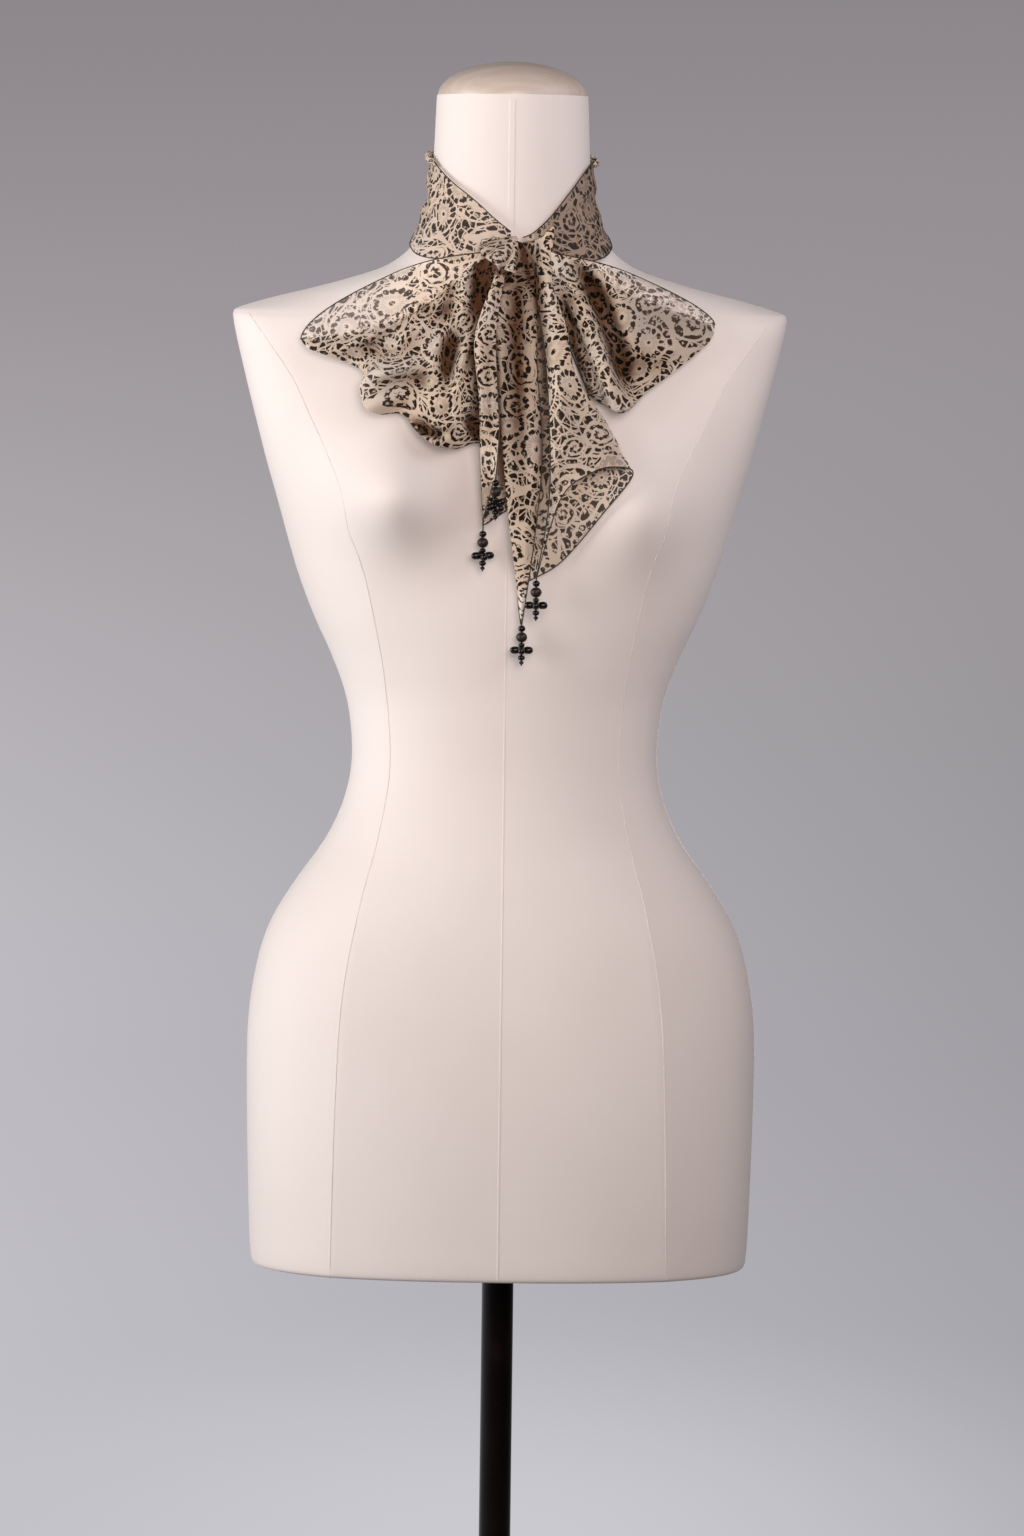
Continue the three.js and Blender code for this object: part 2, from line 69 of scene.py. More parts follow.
lights = {
    "key": {"place": (-2.25, -0.82, 1.55), "aim": (0, 0, 1.4), "size": 1.6, "spread": 110, "power": 22.5,
            "color": (1.0, 1.0, 0.995)},
    "front": {"place": (0.5, -2.95, 2.12), "aim": (0, 0, 1.54), "size": 1.8, "spread": 60, "power": 9.0,
              "color": (1.0, 0.89, 0.84)},
    "fill": {"place": (1.3, -0.6, 2.3), "aim": (0, 0, 1.5), "size": 1.2, "spread": 76, "power": 2.7,
             "color": (0.95, 0.97, 1.06)},
}
room = {"color": (0.80, 0.80, 0.84, 1), "strength": 0.05}


def makeLights():
    for name, light in lights.items():
        bpy.ops.object.light_add(type="AREA", location=light["place"])
        made = bpy.context.object
        made.name = "light_" + name
        made.rotation_euler = (Vector(light["aim"]) - made.location).to_track_quat("-Z", "Y").to_euler()
        made.data.size = light["size"]
        made.data.spread = math.radians(light["spread"])
        made.data.energy = light["power"]
        made.data.color = light["color"]
    world = bpy.data.worlds.new("studio")
    world.use_nodes = True
    world.node_tree.nodes["Background"].inputs["Color"].default_value = room["color"]
    world.node_tree.nodes["Background"].inputs["Strength"].default_value = room["strength"]
    bpy.context.scene.world = world
    bpy.context.scene.view_settings.view_transform = "Standard"


def addNode(tree, kind, settings=None, inputs=None):
    made = tree.nodes.new(kind)
    for key, value in (settings or {}).items():
        setattr(made, key, value)
    for key, value in (inputs or {}).items():
        if isinstance(value, bpy.types.NodeSocket):
            tree.links.new(value, made.inputs[key])
        else:
            made.inputs[key].default_value = value
    return made


def calc(tree, operation, a, b=0.0, c=0.0, clamp=False):
    made = addNode(tree, "ShaderNodeMath", {"operation": operation, "use_clamp": clamp}, {0: a, 1: b, 2: c})
    return made.outputs[0]


def times(tree, a, b):
    return calc(tree, "MULTIPLY", a, b)


def minus(tree, a, b):
    return calc(tree, "SUBTRACT", a, b)


# From low at 0 to high at 1.
def slide(tree, share, low, high):
    return calc(tree, "MULTIPLY_ADD", share, high - low, low)


# 0 at low and 1 at high, smooth between them. Low may be the larger.
def step(tree, value, low, high):
    made = addNode(tree, "ShaderNodeMapRange", {"interpolation_type": "SMOOTHSTEP"},
                   {"Value": value, "From Min": low, "From Max": high})
    return made.outputs["Result"]


# 1 between low and high, with soft edges.
def between(tree, value, low, high, soft):
    rise = step(tree, value, low - soft, low + soft)
    fall = step(tree, value, high + soft, high - soft)
    return times(tree, rise, fall)


def mixColor(tree, share, a, b, blend="MIX"):
    made = addNode(tree, "ShaderNodeMix", {"data_type": "RGBA", "blend_type": blend}, {0: share, 6: a, 7: b})
    return made.outputs[2]


def mixValue(tree, share, a, b):
    return addNode(tree, "ShaderNodeMix", {"data_type": "FLOAT"}, {0: share, 2: a, 3: b}).outputs[0]


# Clouds and spots on the flat cloth.
def clouds(tree, vector, scale, detail, output="Fac"):
    made = addNode(tree, "ShaderNodeTexNoise", {"noise_dimensions": "2D"},
                   {"Vector": vector, "Scale": scale, "Detail": detail})
    return made.outputs[output]


def spots(tree, vector, pitch, strays, feature="F1", more=None):
    return addNode(tree, "ShaderNodeTexVoronoi", {"voronoi_dimensions": "2D", "feature": feature},
                   {"Vector": vector, "Scale": 1 / pitch, "Randomness": strays, **(more or {})})


def newGroup(name, ins, outs):
    group = bpy.data.node_groups.new(name, "ShaderNodeTree")
    for label, kind in ins:
        group.interface.new_socket(label, in_out="INPUT", socket_type="NodeSocket" + kind)
    for label, kind in outs:
        group.interface.new_socket(label, in_out="OUTPUT", socket_type="NodeSocket" + kind)
    enter = group.nodes.new("NodeGroupInput")
    leave = group.nodes.new("NodeGroupOutput")
    return group, enter, leave


def newMaterial(name, sockets):
    made = bpy.data.materials.new(name)
    made.use_nodes = True
    shader = made.node_tree.nodes["Principled BSDF"]
    for key, value in sockets.items():
        shader.inputs[key].default_value = value
    return made, made.node_tree, shader


def addBump(tree, shader, strength, distance, height):
    bump = addNode(tree, "ShaderNodeBump", None, {"Strength": strength, "Distance": distance, "Height": height})
    tree.links.new(bump.outputs[0], shader.inputs["Normal"])


# The print is a generic lace: rosettes, hooks and rounded cells between plain ribbons. In mm of cloth.
lace = {
    "pitch": 30.0,  # from one rosette to the next
    "strays": 0.75,  # 0 is an even grid
    "sizes": (0.72, 1.14),  # of the smallest and the largest rosette
    "wander": (0.03, 10.0),  # how often the print bends, and how far
    "tremble": (0.13, 2.2),
    "grit": (0.42, 2.0),  # how often the ink's edges are rough, and how much
    "worn": (0.28, 0.46),  # where the ink is rubbed off
    "hooksFrom": 0.5,  # the share of the rosettes that keep a dot, and the others are hooks
    "dot": (1.8, 1.3),
    "fur": {"count": 25, "at": 5.2, "halfAlong": 0.34, "halfAcross": 2.0, "ink": 0.4},
    "row": {"count": 13, "at": 9.3, "halfAlong": 0.46, "halfAcross": 2.15},
    "hook": {"count": 7, "coil": 5.8, "halfAlong": 0.5, "halfAcross": 0.33, "within": (0.8, 10.2)},
    "rim": (10.6, 10.2),
    "fieldFrom": (12.9, 11.9),  # where the cells begin round a dot, and round a hook
    "ring": (17.0, 18.6),  # a plain ring in the cells
    "ribbons": {"scale": 0.026, "count": 6.0, "within": (0.42, 0.62)},
    "cellPitch": 5.8,
    "cellStrays": 0.85,
    "cell": (0.74, 0.62),
    "vein": 0.045,
}


def laceGroup():
    group, enter, leave = newGroup("lacePrint", [("Cloth", "Vector")], [("Ink", "Float"), ("Fade", "Float")])
    t = group
    scaled = addNode(t, "ShaderNodeVectorMath", {"operation": "SCALE"}, {0: enter.outputs["Cloth"], "Scale": 1000.0})
    mm = scaled.outputs[0]

    # Bends the cloth's coordinates, so that the print looks drawn by hand.
    def push(vector, scale, amount):
        drift = clouds(t, vector, scale, 0.0, "Color")
        centred = addNode(t, "ShaderNodeVectorMath", {"operation": "SUBTRACT"}, {0: drift, 1: (0.5,) * 3})
        moved = addNode(t, "ShaderNodeVectorMath", {"operation": "MULTIPLY_ADD"},
                        {0: centred.outputs[0], 1: (amount,) * 3, 2: vector})
        return moved.outputs[0]

    cloth = push(push(mm, *lace["wander"]), *lace["tremble"])
    nearest = spots(t, cloth, lace["pitch"], lace["strays"])
    blend = spots(t, cloth, lace["pitch"], lace["strays"], "SMOOTH_F1", {"Smoothness": 0.35})
    away = addNode(t, "ShaderNodeVectorMath", {"operation": "SUBTRACT"}, {0: cloth, 1: nearest.outputs["Position"]})
    x, y, _ = addNode(t, "ShaderNodeSeparateXYZ", None, {0: away.outputs[0]}).outputs
    chance = addNode(t, "ShaderNodeSeparateColor", None, {0: nearest.outputs["Color"]})
    size = slide(t, chance.outputs[0], *lace["sizes"])
    r = calc(t, "DIVIDE", times(t, nearest.outputs["Distance"], lace["pitch"]), size)
    round_ = calc(t, "DIVIDE", times(t, blend.outputs["Distance"], lace["pitch"]), size)
    turn = calc(t, "DIVIDE", calc(t, "ARCTAN2", y, x), 2 * math.pi)
    rough = times(t, minus(t, clouds(t, mm, lace["grit"][0], 2.0), 0.5), lace["grit"][1])

    # Rounded cells side by side round a rosette; across is 0 on their middle line.
    def ovals(part, across):
        along = calc(t, "DIVIDE", minus(t, calc(t, "FRACT", times(t, turn, part["count"])), 0.5), part["halfAlong"])
        wide = calc(t, "DIVIDE", across, part["halfAcross"])
        far = calc(t, "MULTIPLY_ADD", along, along, times(t, wide, wide))
        return step(t, calc(t, "ADD", far, rough), 1.2, 0.8)

    fur, row, hook = lace["fur"], lace["row"], lace["hook"]
    rosette = calc(t, "MAXIMUM", step(t, r, *lace["dot"]), times(t, ovals(fur, minus(t, r, fur["at"])), fur["ink"]))
    coil = calc(t, "FRACT", minus(t, calc(t, "DIVIDE", r, hook["coil"]), turn))
    hooked = times(t, ovals(hook, minus(t, coil, 0.5)), between(t, r, *hook["within"], 0.4))
    isHook = step(t, chance.outputs[1], lace["hooksFrom"], lace["hooksFrom"] + 0.02)
    heart = mixValue(t, isHook, rosette, hooked)
    ringed = times(t, ovals(row, minus(t, r, row["at"])), minus(t, 1.0, isHook))

    # The rest is filled with rounded cells, in bands between plain ribbons that wander.
    edges = spots(t, cloth, lace["cellPitch"], lace["cellStrays"], "DISTANCE_TO_EDGE")
    middles = spots(t, cloth, lace["cellPitch"], lace["cellStrays"])
    cell = times(t, step(t, edges.outputs["Distance"], lace["vein"], lace["vein"] + 0.05),
                 step(t, calc(t, "MULTIPLY_ADD", rough, 0.12, middles.outputs["Distance"]), *lace["cell"]))
    ribbons = lace["ribbons"]
    level = calc(t, "FRACT", times(t, clouds(t, cloth, ribbons["scale"], 0.0), ribbons["count"]))
    plain = calc(t, "MAXIMUM", between(t, level, *ribbons["within"], 0.02), between(t, round_, *lace["ring"], 0.3))
    start = slide(t, isHook, *lace["fieldFrom"])
    filled = times(t, times(t, cell, calc(t, "GREATER_THAN", round_, start)), minus(t, 1.0, plain))
    ink = calc(t, "MAXIMUM", times(t, heart, step(t, r, *lace["rim"])), ringed)
    ink = calc(t, "MAXIMUM", ink, filled, clamp=True)
    ink = times(t, ink, step(t, clouds(t, mm, 0.3, 3.0), *lace["worn"]))
    t.links.new(ink, leave.inputs["Ink"])
    t.links.new(clouds(t, mm, 0.022, 1.0), leave.inputs["Fade"])
    return group


# The height of a fine crepe weave, from the cloth's own coordinates in metres.
def weaveGroup():
    group, enter, leave = newGroup("crepeWeave", [("Cloth", "Vector")], [("Height", "Float")])
    group.links.new(clouds(group, enter.outputs["Cloth"], 300.0, 2.0), leave.inputs["Height"])
    return group


chiffonLook = {
    "ground": (0.90, 0.715, 0.555, 1),
    "groundPale": (0.94, 0.81, 0.70, 1),
    "ink": (0.015, 0.006, 0.002, 1),
    "inkFaded": (0.11, 0.082, 0.062, 1),
    "deep": (0.12, 0.066, 0.040, 1),  # painted shade: cloth in the valleys is multiplied towards this
    "fades": (0.42, 0.75),
    "behindFades": 0.2,  # how much weaker the ink shows through on the wrong side, and where the print has faded
    "wornFades": 0.4,
    "paintedShade": (0.15, 0.78),  # how open a place is where the painted shade is full, and where it ends
    "thins": (0.3, 0.8),
    "groundCover": 0.6,
    "palest": 0.32,  # how much the ground covers in the sheerest places
    "closedCover": 0.98,  # and where other cloth lies close round it
    "inkCover": 0.93,
    "paleInkCover": 0.77,
    "lightThrough": -0.4,  # the share of its shadow that light fills in, as it scatters through the silk
    "crepe": (0.35, 0.0006),
}


# The sheets carry two values for each point. The first is painted shade above 0, in a trough, and below 0 where the
# cloth is pale and sheer; "closed" is how much other cloth stands round it, and it paints shade too.
def chiffonMaterial(lacePrint, weave):
    look = chiffonLook
    made, t, shader = newMaterial("chiffon", {"Roughness": 0.72, "Sheen Weight": 0.03, "Sheen Roughness": 0.45,
                                              "Specular IOR Level": 0.08})
    uv = addNode(t, "ShaderNodeUVMap", {"uv_map": "cloth"}).outputs[0]
    inked = addNode(t, "ShaderNodeGroup", {"node_tree": lacePrint}, {"Cloth": uv}).outputs
    crepe = addNode(t, "ShaderNodeGroup", {"node_tree": weave}, {"Cloth": uv}).outputs["Height"]
    side = addNode(t, "ShaderNodeNewGeometry").outputs["Backfacing"]
    shadeAndPale = addNode(t, "ShaderNodeAttribute", {"attribute_name": "shadeAndPale"}).outputs["Fac"]
    closed = addNode(t, "ShaderNodeAttribute", {"attribute_name": "closed"}).outputs["Fac"]
    # Painted shade above 0; below 0 pale: faded print on the loops, and painted light on the tail's flare.
    trough = calc(t, "MAXIMUM", shadeAndPale, 0.0)
    level = minus(t, 1.0, trough)
    pale = calc(t, "MAXIMUM", times(t, shadeAndPale, -1.0), 0.0)
    fade = calc(t, "MAXIMUM", times(t, step(t, inked["Fade"], *look["fades"]), level), pale)
    ground = mixColor(t, fade, look["ground"], look["groundPale"])
    weaker = calc(t, "MULTIPLY_ADD", side, look["behindFades"], times(t, fade, look["wornFades"]), clamp=True)
    tone = mixColor(t, inked["Ink"], ground, mixColor(t, weaker, look["ink"], look["inkFaded"]))
    # Painted shade multiplies the colour towards the deep tone, in troughs and where other cloth closes a place in.
    open_ = minus(t, 1.0, closed)
    unshaded = times(t, step(t, open_, *look["paintedShade"]), level)
    shade = mixColor(t, unshaded, look["deep"], (1, 1, 1, 1))
    t.links.new(mixColor(t, 1.0, tone, shade, "MULTIPLY"), shader.inputs["Base Color"])
    sheer = slide(t, pale, look["groundCover"], look["palest"])
    thin = mixValue(t, times(t, unshaded, step(t, open_, *look["thins"])), look["closedCover"], sheer)
    inkCover = slide(t, pale, look["inkCover"], look["paleInkCover"])
    cover = mixValue(t, inked["Ink"], thin, inkCover)
    casts = calc(t, "MULTIPLY_ADD", addNode(t, "ShaderNodeLightPath").outputs["Is Shadow Ray"],
                 look["lightThrough"], 1.0)
    t.links.new(times(t, cover, casts), shader.inputs["Alpha"])
    addBump(t, shader, *look["crepe"], crepe)
    return made


# Uneven clouds in space, which every finish but the chiffon uses at its own scale: twist, knit, grain, wear or dust.
def mottleGroup():
    group, enter, leave = newGroup("mottle", [("Place", "Vector"), ("Scale", "Float"), ("Detail", "Float")],
                                   [("Mottle", "Float")])
    cloud = addNode(group, "ShaderNodeTexNoise", None,
                    {"Vector": enter.outputs["Place"], "Scale": enter.outputs["Scale"],
                     "Detail": enter.outputs["Detail"]})
    group.links.new(cloud.outputs["Fac"], leave.inputs["Mottle"])
    return group


def objectPlace(tree, stretch=None):
    place = addNode(tree, "ShaderNodeTexCoord").outputs["Object"]
    if stretch is None:
        return place
    return addNode(tree, "ShaderNodeMapping", None, {"Vector": place, "Scale": stretch}).outputs[0]


def mottled(tree, group, place, scale, detail):
    made = addNode(tree, "ShaderNodeGroup", {"node_tree": group}, {"Place": place, "Scale": scale, "Detail": detail})
    return made.outputs["Mottle"]


# The plain finishes: how the clouds are scaled and stretched, between which values they turn from the first colour
# to the second, how the roughness follows, and how strong and how deep the bumps are.
finishes = {
    "hem": {"name": "rolledHem", "sockets": {"Roughness": 0.7}, "mottle": (900.0, 1.0),
            "colors": ((0.012, 0.010, 0.007, 1), (0.048, 0.038, 0.028, 1)), "bump": (0.5, 0.0003)},
    "cap": {"name": "capWood", "sockets": {"Roughness": 0.42, "Coat Weight": 0.25, "Coat Roughness": 0.3},
            "stretch": (1.0, 6.0, 6.0), "mottle": (26.0, 4.0), "turns": (0.35, 0.7),
            "colors": ((0.56, 0.45, 0.38, 1), (0.61, 0.515, 0.445, 1)), "bump": (0.15, 0.0006)},
    "gold": {"name": "wornGold", "sockets": {"Metallic": 0.7}, "mottle": (160.0, 3.0), "turns": (0.42, 0.6),
             "colors": ((0.30, 0.17, 0.07, 1), (0.62, 0.47, 0.33, 1)), "roughness": (0.3, 0.6)},
    "stand": {"name": "blackEnamel", "sockets": {"Specular IOR Level": 0.16}, "mottle": (45.0, 3.0),
              "turns": (0.4, 0.75), "colors": ((0.0035, 0.0018, 0.0012, 1), (0.007, 0.004, 0.003, 1)),
              "roughness": (0.13, 0.21)},
    "jet": {"name": "jet", "sockets": {"Roughness": 0.1, "Specular IOR Level": 0.32}, "mottle": (420.0, 2.0),
            "colors": ((0.003, 0.002, 0.0015, 1), (0.009, 0.006, 0.004, 1)), "bump": (0.25, 0.0004)},
    "dull": {"name": "dullBead", "sockets": {"Roughness": 0.4, "Specular IOR Level": 0.32}, "mottle": (420.0, 2.0),
             "colors": ((0.010, 0.006, 0.004, 1), (0.030, 0.018, 0.011, 1)), "bump": (0.25, 0.0004)},
}


def plainFinish(look, mottle):
    made, t, shader = newMaterial(look["name"], look["sockets"])
    cloud = mottled(t, mottle, objectPlace(t, look.get("stretch")), *look["mottle"])
    share = step(t, cloud, *look["turns"]) if "turns" in look else cloud
    t.links.new(mixColor(t, share, *look["colors"]), shader.inputs["Base Color"])
    if "roughness" in look:
        t.links.new(slide(t, share, *look["roughness"]), shader.inputs["Roughness"])
    if "bump" in look:
        addBump(t, shader, *look["bump"], cloud)
    return made


jerseyLook = {
    "colors": ((0.78, 0.695, 0.655, 1), (0.81, 0.73, 0.69, 1)),
    "patches": (7.0, 2.0),
    "knit": (1900.0, 1.0),
    "knitStretch": (1.0, 1.0, 0.55),
    "broad": (30.0, 1.0),
    "broadShare": 0.6,
    "bump": (0.12, 0.0005),
}


def jerseyMaterial(mottle):
    look = jerseyLook
    made, t, shader = newMaterial("ivoryJersey", {"Roughness": 0.62, "Sheen Weight": 0.2, "Specular IOR Level": 0.3})
    place = objectPlace(t)
    share = step(t, mottled(t, mottle, place, *look["patches"]), 0.3, 0.7)
    t.links.new(mixColor(t, share, *look["colors"]), shader.inputs["Base Color"])
    knit = mottled(t, mottle, objectPlace(t, look["knitStretch"]), *look["knit"])
    height = calc(t, "MULTIPLY_ADD", mottled(t, mottle, place, *look["broad"]), look["broadShare"], knit)
    addBump(t, shader, *look["bump"], height)
    return made


backdrop = {
    "flat": 8.0,  # how far the flat floor reaches, and how far and how high the wall then curves up, in metres
    "curve": (12.0, 9.0),
    "under": -0.0005,
    "nearer": 0.12,  # a metre nearer on the floor is toned like this much lower on the wall
    "litWithin": (1.4, 2.9),  # the floor near the stand is lit by the lamps, and further off it glows by itself
    "lit": (0.42, 0.41, 0.435, 1),
    "unlit": (0.02, 0.02, 0.02, 1),
    "near": 0.25,  # the share of the glow that is left near the stand
    "front": 0.17,  # the glow in front of the form, against that behind it
    "frontToBehind": (-5.0, 3.0),
    "leftToRight": -0.22,  # painted fall-off: the glow dims this much with each metre to the right, near the floor
    "evenAbove": (1.9, -0.6),  # the height over which it is even, and that below which it dims in full
    "dimmest": 0.2,
    # A painted patch of light on the floor behind the form, where it glows brighter.
    "paintedLightPool": {"x": 0.12, "y": 3.1, "flatness": 0.45, "size": 0.9, "gain": 0.26},
    # The glow's tone at each height of the wall, painted darker higher up. Below 0 it is the floor, nearer and
    # nearer.
    "tones": [(-0.6, (0.47, 0.465, 0.50)), (0.0, (0.432, 0.42, 0.452)), (0.31, (0.402, 0.385, 0.41)),
              (0.84, (0.36, 0.337, 0.355)), (1.33, (0.325, 0.298, 0.32)), (2.16, (0.262, 0.240, 0.256)),
              (6.0, (0.19, 0.176, 0.188))],
}


# The backdrop glows, with painted light: dimmer higher up and to the right, and brighter in a patch behind the form.
def floorMaterial():
    look = backdrop
    made, t, shader = newMaterial("paleFloor", {"Roughness": 0.9, "Specular IOR Level": 0.0})
    made.cycles.emission_sampling = "NONE"
    x, y, z = addNode(t, "ShaderNodeSeparateXYZ", None, {0: objectPlace(t)}).outputs

    def far(a, b):
        return calc(t, "SQRT", calc(t, "MULTIPLY_ADD", a, a, times(t, b, b)))
    away = far(x, y)
    near = calc(t, "MINIMUM", times(t, minus(t, away, look["flat"]), look["nearer"]), 0.0)
    height = calc(t, "ADD", z, near)
    tones = look["tones"]
    low, high = tones[0][0], tones[-1][0]
    spread = addNode(t, "ShaderNodeMapRange", None, {"Value": height, "From Min": low, "From Max": high})
    ramp = addNode(t, "ShaderNodeValToRGB", None, {"Fac": spread.outputs["Result"]})
    stops = ramp.color_ramp.elements
    for i, (level, tone) in enumerate(tones):
        share = (level - low) / (high - low)
        stop = stops[0] if i == 0 else stops[-1] if i == len(tones) - 1 else stops.new(share)
        stop.position = share
        stop.color = (*tone, 1)
    paintedLightPool = look["paintedLightPool"]
    off = far(minus(t, x, paintedLightPool["x"]),
              times(t, minus(t, y, paintedLightPool["y"]), paintedLightPool["flatness"]))
    glow = times(t, step(t, off, paintedLightPool["size"], 0.0), paintedLightPool["gain"])
    slope = times(t, step(t, height, *look["evenAbove"]), look["leftToRight"])
    aside = calc(t, "MAXIMUM", calc(t, "MULTIPLY_ADD", x, slope, 1.0), look["dimmest"])
    gain = calc(t, "ADD", aside, glow)
    own = step(t, away, *look["litWithin"])
    behind = slide(t, step(t, y, *look["frontToBehind"]), look["front"], 1)
    share = slide(t, own, look["near"], 1)
    t.links.new(ramp.outputs["Color"], shader.inputs["Emission Color"])
    t.links.new(times(t, times(t, gain, behind), share), shader.inputs["Emission Strength"])
    t.links.new(mixColor(t, own, look["lit"], look["unlit"]), shader.inputs["Base Color"])
    return made


def activate(piece):
    bpy.ops.object.select_all(action="DESELECT")
    piece.select_set(True)
    bpy.context.view_layer.objects.active = piece


def meshObject(name, points, faces):
    data = bpy.data.meshes.new(name)
    data.from_pydata([tuple(p) for p in points], [], faces)
    data.update()
    made = bpy.data.objects.new(name, data)
    bpy.context.collection.objects.link(made)
    return made


# Faces between rows of points. Closed rows join up at their ends.
def gridFaces(rows, columns, closed=False, turned=False):
    faces = []
    for i in range(rows - 1):
        for k in range(columns if closed else columns - 1):
            a, b = i * columns + k, i * columns + (k + 1) % columns
            faces.append((a, a + columns, b + columns, b) if turned else (a, b, b + columns, a + columns))
    return faces


# Thin round tubes along runs of points.
def tubes(name, runs, radius, capped):
    data = bpy.data.curves.new(name, "CURVE")
    data.dimensions = "3D"
    data.bevel_depth = radius
    data.bevel_resolution = 1
    data.use_fill_caps = capped
    for run in runs:
        spline = data.splines.new("POLY")
        spline.points.add(len(run) - 1)
        for place, point in zip(spline.points, run):
            place.co = (*point, 1)
    made = bpy.data.objects.new(name, data)
    bpy.context.collection.objects.link(made)
    activate(made)
    bpy.ops.object.convert(target="MESH")
    bpy.ops.object.shade_smooth()
    return bpy.context.object


def joinPieces(name, pieces):
    bpy.ops.object.select_all(action="DESELECT")
    for piece in pieces:
        piece.select_set(True)
    bpy.context.view_layer.objects.active = pieces[0]
    bpy.ops.object.join()
    bpy.ops.object.transform_apply(location=True, rotation=True, scale=True)
    pieces[0].name = name
    return pieces[0]


# A smooth curve through a row of numbers, read at t from 0 to 1.
def smooth(values, t):
    place = min(max(t, 0.0), 1.0) * (len(values) - 1)
    i = min(int(place), len(values) - 2)
    f = place - i
    last = len(values) - 1
    a, b, c, d = (values[min(max(k, 0), last)] for k in (i - 1, i, i + 1, i + 2))
    return 0.5 * (2 * b + (c - a) * f + (2 * a - 5 * b + 4 * c - d) * f * f + (3 * b - a - 3 * c + d) * f ** 3)


def lerp(a, b, t):
    return a + (b - a) * t


def easeStep(t, low, high):
    s = min(max((t - low) / (high - low), 0.0), 1.0)
    return s * s * (3 - 2 * s)


def finish(piece, material, nodes=()):
    if not piece.data.materials:
        piece.data.materials.append(material)
    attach(piece, root)
    if nodes:
        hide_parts(*nodes)


seams = {
    "tape": {"from": 1.5145, "to": 1.40, "width": 0.0046, "lift": 0.00028},  # down the middle of the neck
    "middle": {"width": 0.00132, "parts": ((1.41, 1.08, 0.000055), (1.085, 0.712, 0.000187))},  # from, to, lift
    "curved": {"width": 0.00154, "lift": 0.000286},
    "side": {"from": 1.36, "to": 0.712},
}
# Points of the curved seams, as x and z from the shoulder to the hem.
frontSeam = [(0.179, 1.3665), (0.164, 1.346), (0.148, 1.323), (0.135, 1.2965), (0.123, 1.2715), (0.113, 1.247),
             (0.108, 1.2215), (0.101, 1.203), (0.094, 1.178), (0.083, 1.12), (0.0785, 1.06), (0.086, 1.01),
             (0.098, 0.963), (0.109, 0.90), (0.113, 0.82), (0.115, 0.712)]
backSeam = [(0.165, 1.366), (0.140, 1.31), (0.112, 1.23), (0.090, 1.14), (0.081, 1.065), (0.094, 0.96),
            (0.108, 0.88), (0.111, 0.80), (0.112, 0.712)]
torsoShape = {"sides": 256, "finer": 6}
# Height, half width, depth in front and behind, and how square the cut is, in mm.
formSections = [
    (710, 166, 101, 106, 2.5),
    (712, 170.5, 104, 110, 2.5),
    (720, 172, 105, 111, 2.5),
    (735, 172.8, 105.3, 111.5, 2.5),
    (770, 174, 106, 114, 2.5),
    (826, 175.3, 106, 119, 2.5),
    (880, 174.8, 103, 121, 2.5),
    (922, 168.4, 99, 118, 2.4),
    (950, 158.7, 95, 111, 2.3),
    (978, 141.5, 89, 102, 2.2),
    (1005, 122.5, 83, 92, 2.1),
    (1033, 110, 79, 84, 2.1),
    (1063, 105, 77, 79, 2.1),
    (1100, 108.7, 79, 78, 2.1),
    (1130, 119, 83, 80, 2.2),
    (1157, 131.5, 87, 84, 2.3),
    (1185, 142.5, 90, 88, 2.4),
    (1212, 150.8, 91, 91, 2.5),
    (1240, 158.7, 89, 93, 2.7),
    (1267, 166.6, 84, 93, 2.9),
    (1295, 173.9, 77, 91, 3.2),
    (1322, 180.8, 69, 87, 3.4),
    (1350, 187.6, 60.5, 80, 3.5),
    (1362, 190.0, 56, 75, 3.3),
    (1367.5, 190.2, 53.5, 71, 3.0),
    (1371, 186, 52, 69, 2.8),
    (1378, 163, 51, 67, 2.4),
    (1385, 135, 50.5, 64, 2.3),
    (1392, 110, 51, 61, 2.2),
    (1399, 89, 52, 59.5, 2.1),
    (1406, 77, 53, 58.5, 2),
    (1414, 68.5, 53.5, 57.5, 2),
    (1425, 61.5, 54, 56.5, 2),
    (1442, 56.5, 54, 55.5, 2),
    (1472, 54, 53.5, 54, 2),
    (1514.7, 52.2, 52.2, 52.2, 2),
    (1515, 51.6, 51.6, 51.6, 2),
]
# Each side of the bust is two soft mounds, one on the other. In mm.
bustMounds = [
    {"x": -83, "height": 1247, "forward": 27.5, "spread": 28, "rise": 29},
    {"x": 92, "height": 1236, "forward": 26, "spread": 28.5, "rise": 30},
    {"x": -77, "height": 1244, "forward": 11, "spread": 24, "rise": 21},
    {"x": 99, "height": 1229, "forward": 3.2, "spread": 16, "rise": 18},
]
# The cover's panels meet in soft edges along the curved seams. In mm.
panelEdge = {"lift": 2.6, "reach": 17.0, "fades": (1376, 1362), "softAt": 1070, "softOver": (20, 120)}


# The x of a curved seam at a height, in mm.
def seamAt(points, z):
    for i in range(len(points) - 1):
        (ax, az), (bx, bz) = points[i], points[i + 1]
        if bz * 1000 <= z <= az * 1000:
            return 1000 * lerp(ax, bx, (z - az * 1000) / (bz * 1000 - az * 1000))
    return 1000 * (points[0][0] if z > points[0][1] * 1000 else points[-1][0])


